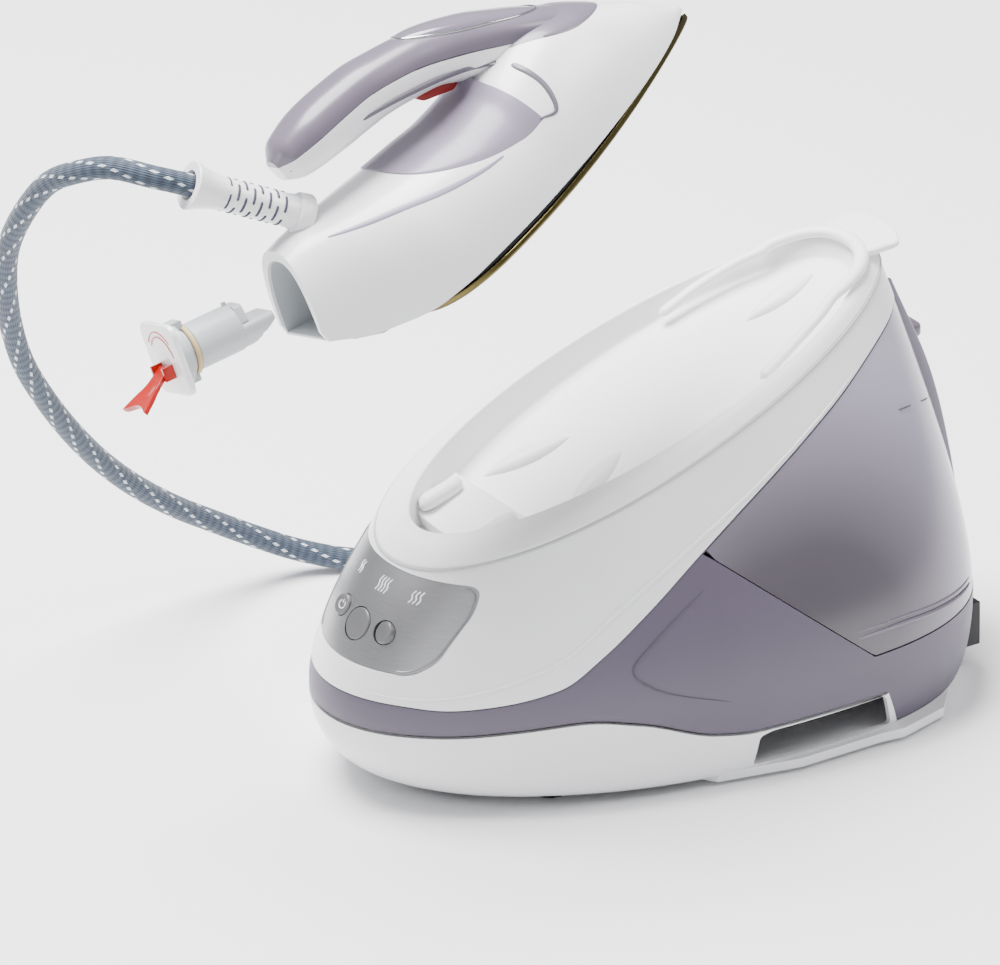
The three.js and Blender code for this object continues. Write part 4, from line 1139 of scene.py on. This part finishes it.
lever_rings = []
for v in np.linspace(-1, 1, 33):
    end = 27 - 4.2 * (1 - v * v) ** 1.5
    top_side, low_side = [], []
    for u in np.linspace(0, 1, 25):
        x = -3 + (end + 3) * u
        y = float(LEVER_HALF(x)) * v
        bowl = 0.9 * math.exp(-((x - 12) / 5) ** 2 - (y / 4.5) ** 2)
        curl = 1.6 * v ** 4 * max(0.0, u - 0.4)
        edge = 0.5 * max(0.0, abs(v) * 8 - 7)
        top_side.append(on_lever(x, y, -1.6 - curl + bowl + edge))
        low_side.append(on_lever(x, y, 1.6 - curl - edge))
    lever_rings.append(on_bore(top_side + low_side[::-1], OUT))
loft("collector_lever_skin", lever_rings, LEVER_RED, "lever", sharp=35, replaces=["collector_lever"])
for side in (-1, 1):
    ear = [(2, side * 6.5), (10, side * 6.5), (10, side * 8), (2, side * 8)]
    word = "near" if side < 0 else "far"
    bore_loft(f"lever_ear_{word}", ear, [(-7.6, 1), (-0.5, 1)], LEVER_RED, "collector", OUT, sharp=30)


# ---------------------------------------------------------------- hose sleeve and hose

SLEEVE_ROOT = np.array([-243.0, 0, 88])
SLEEVE_DIR = np.array([-0.54, 0, 0.84]) / np.linalg.norm([0.54, 0.84])
sleeve_at, sleeve_axis = on_iron(SLEEVE_ROOT), iron_axis(SLEEVE_DIR)
HOSE_R = 6.5
sleeve_rows = [(0, 0.5), (9.6, 0.5), (10, 1.2), (9.6, 6), (9.2, 9), (9.2, 44), (9.6, 50), (10.6, 56),
               (12.2, 62), (13.6, 66), (13.9, 67.4), (13.3, 68), (8.6, 68), (7.6, 64), (7.2, 56), (7.2, 21),
               (0, 21)]
turned("hose_sleeve_skin", sleeve_rows, sleeve_at, sleeve_axis, WHITE, "sleeve", sides=64, sharp=40,
       replaces=["hose_sleeve"])
su, sv, sw = frame_on(sleeve_axis)
SLOT_RINGS = 8
for ring_index in range(SLOT_RINGS):
    height = 12 + 4.9 * ring_index
    for part in range(4):
        start = TAU * (part + 0.5 * (ring_index % 2)) / 4
        arc = [sleeve_at + sw * height + 8.8 * (math.cos(a) * su + math.sin(a) * sv)
               for a in np.linspace(start, start + TAU / 5.6, 14)]
        tube(f"sleeve_slot_{ring_index + 1}_{part + 1}", arc, 0.95, SLEEVE_SHADE, "sleeve", sides=8)
turned("sleeve_collar", [(0, -6), (11.4, -6), (11.8, -5), (11.4, 1.5), (10.6, 2.6), (0, 2.6)], sleeve_at,
       sleeve_axis, WHITE, "iron", sides=48, sharp=35)

# Route of the hose. Some of these points are rounded measurements.
HOSE_PATH = [
    (-243, 19.2, 364.6), (-262, 24.4, 372.9), (-283, 30.2, 382.2), (-299, 37, 388), (-314, 57, 390),
    (-324, 77, 382), (-328, 96, 370), (-330, 114, 350), (-326, 141, 314), (-316, 160, 280), (-302, 177, 245),
    (-285, 191, 211), (-262, 204, 177), (-237, 216, 145), (-209, 227, 114), (-181, 235, 88), (-150, 242, 64),
    (-124, 245, 47), (-93, 245, 28), (-66, 240, 14), (-40, 227, 6.8), (-10, 209, 6.8), (22, 186, 6.8),
    (49.5, 161.5, 6.8)]
COIL_AT = np.array([110, 222])
COIL_R = 72
COIL_OUT_R = 87
COIL_START = math.radians(225)
COIL_TURNS = (307 + 720 - 225) / 360
COIL_LOW, COIL_STACKED = 8.7, 21.7


def ease(value, start, end):
    """0 before start, 1 after end, and a smooth rise between."""
    u = min(1.0, max(0.0, (value - start) / (end - start)))
    return 3 * u ** 2 - 2 * u ** 3


def coil_point(lap):
    """In along the floor, one lap there, one lap on top of it, then out beside it and down."""
    angle = COIL_START + TAU * lap
    radius = COIL_R + 13.5 * (1 - ease(lap, 0, 0.22)) + (COIL_OUT_R - COIL_R) * ease(lap, 1.64, 1.94)
    z = 6.8 + (COIL_LOW - 6.8) * ease(lap, 0, 0.3) + (COIL_STACKED - COIL_LOW) * ease(lap, 0.84, 1.06)
    z -= (COIL_STACKED - 6.8) * ease(lap, 1.98, 2.38)
    return COIL_AT[0] + radius * math.cos(angle), COIL_AT[1] + radius * math.sin(angle), z


coil = [coil_point(lap) for lap in np.linspace(0, COIL_TURNS, 64)]
TAIL_ARC_AT, TAIL_ARC_R = (184.5, 118.6), 42
tail = []
for degrees, z in ((95, 9.5), (65, 9.5), (35, 12), (5, 17), (-25, 23), (-52, 28)):
    a = math.radians(degrees)
    tail.append((TAIL_ARC_AT[0] + TAIL_ARC_R * math.cos(a), TAIL_ARC_AT[1] + TAIL_ARC_R * math.sin(a), z))
GLAND_MOUTH, GLAND_BACK = (196, 78.6, 30), (175, 71.3, 30)
hose_route = smooth_path(np.vstack([HOSE_PATH[:-1], coil, tail, [GLAND_MOUTH, GLAND_BACK]]), 4)


def hose_mesh(route):
    """A tube with texture coordinates: turns around it, and metres along it."""
    sides = 24
    step = np.linalg.norm(np.diff(route, axis=0), axis=1)
    length = np.concatenate([[0], np.cumsum(step)]) * MM
    tangent = np.gradient(route, axis=0)
    tangent /= np.linalg.norm(tangent, axis=1, keepdims=True)
    side = np.cross(tangent[0], [0, 0, 1.0])
    rings = []
    for p, t in zip(route, tangent):
        side = side - t * (side @ t)
        side /= np.linalg.norm(side)
        up = np.cross(side, t)
        a = np.linspace(0, TAU, sides + 1)
        rings.append(p + HOSE_R * (np.outer(np.cos(a), side) + np.outer(np.sin(a), up)))
    rings = np.array(rings)
    mesh = bpy.data.meshes.new("steam_hose_braid")
    columns = sides + 1
    mesh.from_pydata([tuple(v) for v in rings.reshape(-1, 3) * MM], [], grid_faces(len(route), columns))
    layer = mesh.uv_layers.new(name="UVMap")
    for loop in mesh.loops:
        row, column = divmod(loop.vertex_index, columns)
        layer.data[loop.index].uv = (column / sides, length[row])
    mesh.materials.append(BRAID)
    mesh.shade_smooth()
    mesh.flip_normals()
    hose = bpy.data.objects.new("steam_hose_braid", mesh)
    bpy.context.scene.collection.objects.link(hose)
    return hose, length[-1]


hose, hose_length = hose_mesh(hose_route)
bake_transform(hose)
for node in ("steam_hose", "hose_tail", "hose_coil"):
    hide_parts(node)


# ---------------------------------------------------------------- trim, marks and small parts of the station

def near_side(obj, points, lift=0.0):
    """Points (x, z) carried on to the side of a mesh that faces -Y, lifted off it a little."""
    corners = [v.co for v in obj.data.vertices]
    tree = BVHTree.FromPolygons(corners, [tuple(f.vertices) for f in obj.data.polygons])
    made = []
    for x, z in points:
        hit, _, _, _ = tree.ray_cast(Vector((x * MM, -0.4, z * MM)), Vector((0, 1, 0)))
        if hit is not None:
            made.append(np.array(hit) / MM + np.array([0, -1, 0]) * lift)
    return np.array(made)


def both_sides(name, points, radius, material, body, flat=1.0):
    for word, sign in (("near", 1), ("far", -1)):
        tube(f"{name}_{word}", points * np.array([1, sign, 1]), radius, material, body, sides=10, flat=flat)


# Strips behind the joints of the shells.
JOINT_HALF = 0.9
for name, edge in (("band_joint", band_low), ("shell_joint", SHELL_EDGE)):
    strip_low = level_of(ROUND, lambda x: edge(x) - JOINT_HALF)
    strip_high = level_of(ROUND, lambda x: edge(x) + JOINT_HALF)
    patch(name, ROUND, strip_low, strip_high, JOINT, "base", lift=-0.9, thick=0.8, edge=0.1, rows=3,
          closed=True)

# Pressed curve on the side band, drawn as a dark line: painted shade in the crease.
CURVE = [(-30, 119), (-62, 98), (-78, 82), (-66, 70), (-22, 54)]
curve = near_side(side_band, smooth_path(CURVE, 10), 0.05)
both_sides("side_band_curve", curve, tapered(len(curve), 0.75, 0.02), CREASE_SHADE_AND_MARKS, "base", flat=0.6)

# Bevelled lower edge of the upper shell.
BEVEL_LEAST, BEVEL_SWELL = 2, 13.5
BEVEL_AT, BEVEL_SPREAD = -98, 75
BEVEL = []
for x in np.linspace(-205, 100, 14):
    above = BEVEL_LEAST + BEVEL_SWELL * math.exp(-((x - BEVEL_AT) / BEVEL_SPREAD) ** 2)
    BEVEL.append((x, float(SHELL_EDGE(x)) + above))
bevel = near_side(upper_shell, smooth_path(BEVEL, 8), 0.0)
both_sides("shell_bevel", bevel, tapered(len(bevel), 0.9, 0.02), WHITE, "base", flat=1.0)

# Level mark on the tank: two short dashes.
for k, dash in enumerate((((125, 173.6), (137, 171.4)), ((148, 168.4), (158, 164.6)))):
    line = near_side(tank, smooth_path(dash, 6), 0.05)
    tube(f"tank_level_mark_{k + 1}", line, 0.6, CREASE_SHADE_AND_MARKS, "tank", sides=8, flat=0.6)

# Ledge round the foot of the tank: the step is real, and the lighter glossy lilac of its lines is a painted
# highlight along it.
for k, (low, high) in enumerate(((70.6, 66.5), (74.2, 70.0))):
    LEDGE = [(62, low), (93.6, low), (120, (low + high) / 2), (146, high), (160, high - 1)]
    line = near_side(tank, smooth_path(LEDGE, 12), 0.0)
    thick = tapered(len(line), 1.7 - 0.8 * k, 0.05)
    both_sides(f"tank_ledge_{k + 1}", line, thick, LEDGE_LILAC_HIGHLIGHT, "tank", flat=0.9)


RAIL = [(160, -10, 221), (174, -28, 170), (175, -47, 125), (166, -76, 66)]
RAIL_OUT = np.array([0.824, -0.566, 0])
RAIL_WIDE = np.array([0.566, 0.824, 0])
for word, sign in (("near", 1), ("far", -1)):
    rings = []
    angle = np.linspace(0, TAU, 24, endpoint=False)
    for point in smooth_path(RAIL, 8):
        centre = point - 6 * RAIL_OUT
        ring = centre + 8 * np.outer(signed_power(np.cos(angle), 0.7), RAIL_OUT)
        ring = ring + 3.2 * np.outer(signed_power(np.sin(angle), 0.7), RAIL_WIDE)
        rings.append(ring * np.array([1, sign, 1]))
    loft(f"tank_rail_{word}", rings, RAIL_LILAC, "tank", sharp=40)


def panel_spot(y, z):
    """The point of the panel's face at (y, z), found along X."""
    hit, _, _, _ = panel_tree.ray_cast(Vector((-0.4, y * MM, z * MM)), Vector((1, 0, 0)))
    return np.array(hit) / MM + PANEL_NORMAL * 0.05


panel_tree = BVHTree.FromPolygons([v.co for v in panel.data.vertices],
                                  [tuple(f.vertices) for f in panel.data.polygons])

# Three plain function signs, each a few steam strokes.
def stroke(name, points, radius, node=None):
    line = smooth_path([panel_spot(y, z) for y, z in points], 6)
    tube(name, line, radius, MILK, "base", sides=8, flat=0.8, replaces=[node] if node else ())


SIGNS = [("light_window_1", 21, 123.2, 2, 3.0), ("light_window_2", -4.5, 123.2, 4, 3.6),
         ("light_window_3", -28, 122.8, 3, 3.2)]
for node, y, z, count, tall in SIGNS:
    for k in range(count):
        at = y + 2.4 * (k - (count - 1) / 2)
        wave = [(at + 0.5, z - tall), (at - 0.5, z - tall / 3), (at + 0.5, z + tall / 3),
                (at - 0.5, z + tall)]
        stroke(f"{node}_stroke_{k + 1}", wave, 0.5, node if k == 0 else None)

# Grey line round the border of the panel: painted shadow in the groove at its edge.
rim_points = []
for y, z in rounded_outline([(-42, 86), (42, 86), (51, 94), (55, 119), (52, 130.6), (-52, 130.6), (-55, 119),
                             (-51, 94)], 8, 6):
    hit, _, _, _ = panel_tree.ray_cast(Vector((-0.4, y * MM, z * MM)), Vector((1, 0, 0)))
    if hit is not None:
        rim_points.append(np.array(hit) / MM)
if len(rim_points) > 20:
    tube("panel_rim_painted_shadow", rim_points, 0.8, RIM_SHADOW_GREY, "base", sides=8, closed=True)

# Power sign on the left key: a ring with a gap, and a bar.
POWER_AT = np.array(BUTTONS[0][2], float)
across = np.array([0, -1.0, 0])
upward = np.cross(PANEL_NORMAL, across)
upward = upward * math.copysign(1, upward[2])
face = POWER_AT + PANEL_NORMAL * 1.15
ring = [face + 2.5 * (math.sin(a) * across + math.cos(a) * upward) for a in np.linspace(0.7, TAU - 0.7, 28)]
tube("power_sign_ring", ring, 0.32, MILK, "power_key", sides=8)
bar = smooth_path([face + upward * 0.6, face + upward * 2.9], 4)
tube("power_sign_bar", bar, 0.32, MILK, "power_key", sides=8)


def plain_box(name, low, high, round_by, material, body, replaces=()):
    x0, y0, z0 = low
    x1, y1, z1 = high
    mid = np.array([(x0 + x1) / 2, (y0 + y1) / 2])
    base = np.array(rounded_outline([(x0, y0), (x1, y0), (x1, y1), (x0, y1)], round_by, 6))
    rings = []
    edge = min(round_by, (z1 - z0) / 3) * 0.6
    for z, inset in ((z0, edge), (z0 + edge * 0.3, edge * 0.3), (z0 + edge, 0), (z1 - edge, 0),
                     (z1 - edge * 0.3, edge * 0.3), (z1, edge)):
        flat = mid + (base - mid) * (1 - inset / np.abs(base - mid).max(axis=0))
        rings.append([(x, y, z) for x, y in flat])
    return loft(name, rings, material, body, sharp=40, replaces=replaces)


plain_box("tank_cap_flap", (161, -15, 182.5), (181, 15, 190), 4, MAUVE, "cap", ["tank_cap"])
plain_box("coil_strap_top", (105, 286, 28.5), (115, 302, 30.1), 1.0, DARK, "base")

# Materials of the CAD pieces that stay as they are.
FINISH = {
    WHITE: ["base_plate"],
    DARK: ["foot_1", "foot_2", "foot_3", "foot_4", "socket_seal", "mains_inlet", "trigger_switch",
           "coil_tie"],
    MAUVE: ["tank_grip"],
    GREY: ["tank_valve", "tank_socket", "water_pump", "boiler_thermostat", "hose_gland"],
    GREEN: ["control_board", "power_board"],
    STEEL: ["boiler_lower", "boiler_upper", "boiler_heater", "heater_block", "heating_element",
            "trigger_spring", "lever_pin"],
    BRASS: ["solenoid_valve", "iron_thermostat", "pump_pipe", "boiler_pipe"],
}
for finish, nodes in FINISH.items():
    for node in nodes:
        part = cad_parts[node]
        part.data.materials.clear()
        part.data.materials.append(finish)


# ---------------------------------------------------------------- set

CAMERA_AZIMUTH = math.radians(-34.5)
CAMERA_ELEVATION = math.radians(26.0)
CAMERA_FAR = 12.0
VIEW_WIDE = 0.5587
AIM_RIGHT = -0.0788
AIM_UP = 0.1215
SENSOR = 36.0


def place_camera():
    ca, sa = math.cos(CAMERA_AZIMUTH), math.sin(CAMERA_AZIMUTH)
    ce, se = math.cos(CAMERA_ELEVATION), math.sin(CAMERA_ELEVATION)
    right = Vector((ca, sa, 0))
    up = Vector((-sa * se, ca * se, ce))
    back = Vector((sa * ce, -ca * ce, se))
    data = bpy.data.cameras.new("camera")
    data.sensor_width = SENSOR
    data.lens = SENSOR * CAMERA_FAR / VIEW_WIDE
    data.clip_end = 100
    camera = bpy.data.objects.new("camera", data)
    bpy.context.scene.collection.objects.link(camera)
    camera.location = right * AIM_RIGHT + up * AIM_UP + back * CAMERA_FAR
    camera.rotation_mode = "QUATERNION"
    camera.rotation_quaternion = (-back).to_track_quat("-Z", "Y")
    bpy.context.scene.camera = camera


def area_light(name, place, target, size, power):
    data = bpy.data.lights.new(name, "AREA")
    data.shape = "DISK"
    data.size = size
    data.energy = power
    light = bpy.data.objects.new(name, data)
    bpy.context.scene.collection.objects.link(light)
    light.location = place
    light.rotation_mode = "QUATERNION"
    light.rotation_quaternion = (Vector(target) - Vector(place)).to_track_quat("-Z", "Y")


def build_set():
    mesh = bpy.data.meshes.new("floor")
    half = 20.0
    corners = [(-half, -half, 0), (half, -half, 0), (half, half, 0), (-half, half, 0)]
    mesh.from_pydata(corners, [], [(0, 1, 2, 3)])
    floor = bpy.data.objects.new("floor", mesh)
    bpy.context.scene.collection.objects.link(floor)
    mat, tree, shader = new_material("floor_paper", (0.93, 0.93, 0.94), 0.9)
    bump(tree, shader, noise(tree, 60, 3.0), 0.05, 0.0002)
    mesh.materials.append(mat)
    world = bpy.data.worlds.new("studio")
    world.use_nodes = True
    world.node_tree.nodes["Background"].inputs["Color"].default_value = (0.95, 0.97, 1.0, 1)
    world.node_tree.nodes["Background"].inputs["Strength"].default_value = 0.5
    bpy.context.scene.world = world
    area_light("key", (0.9, -1.0, 1.9), (0, 0, 0.15), 1.0, 22)
    area_light("top", (-0.4, 0.6, 2.2), (0, 0, 0.15), 1.6, 210)
    area_light("fill", (-1.9, -1.2, 0.8), (0, 0, 0.15), 1.4, 5)


place_camera()
build_set()
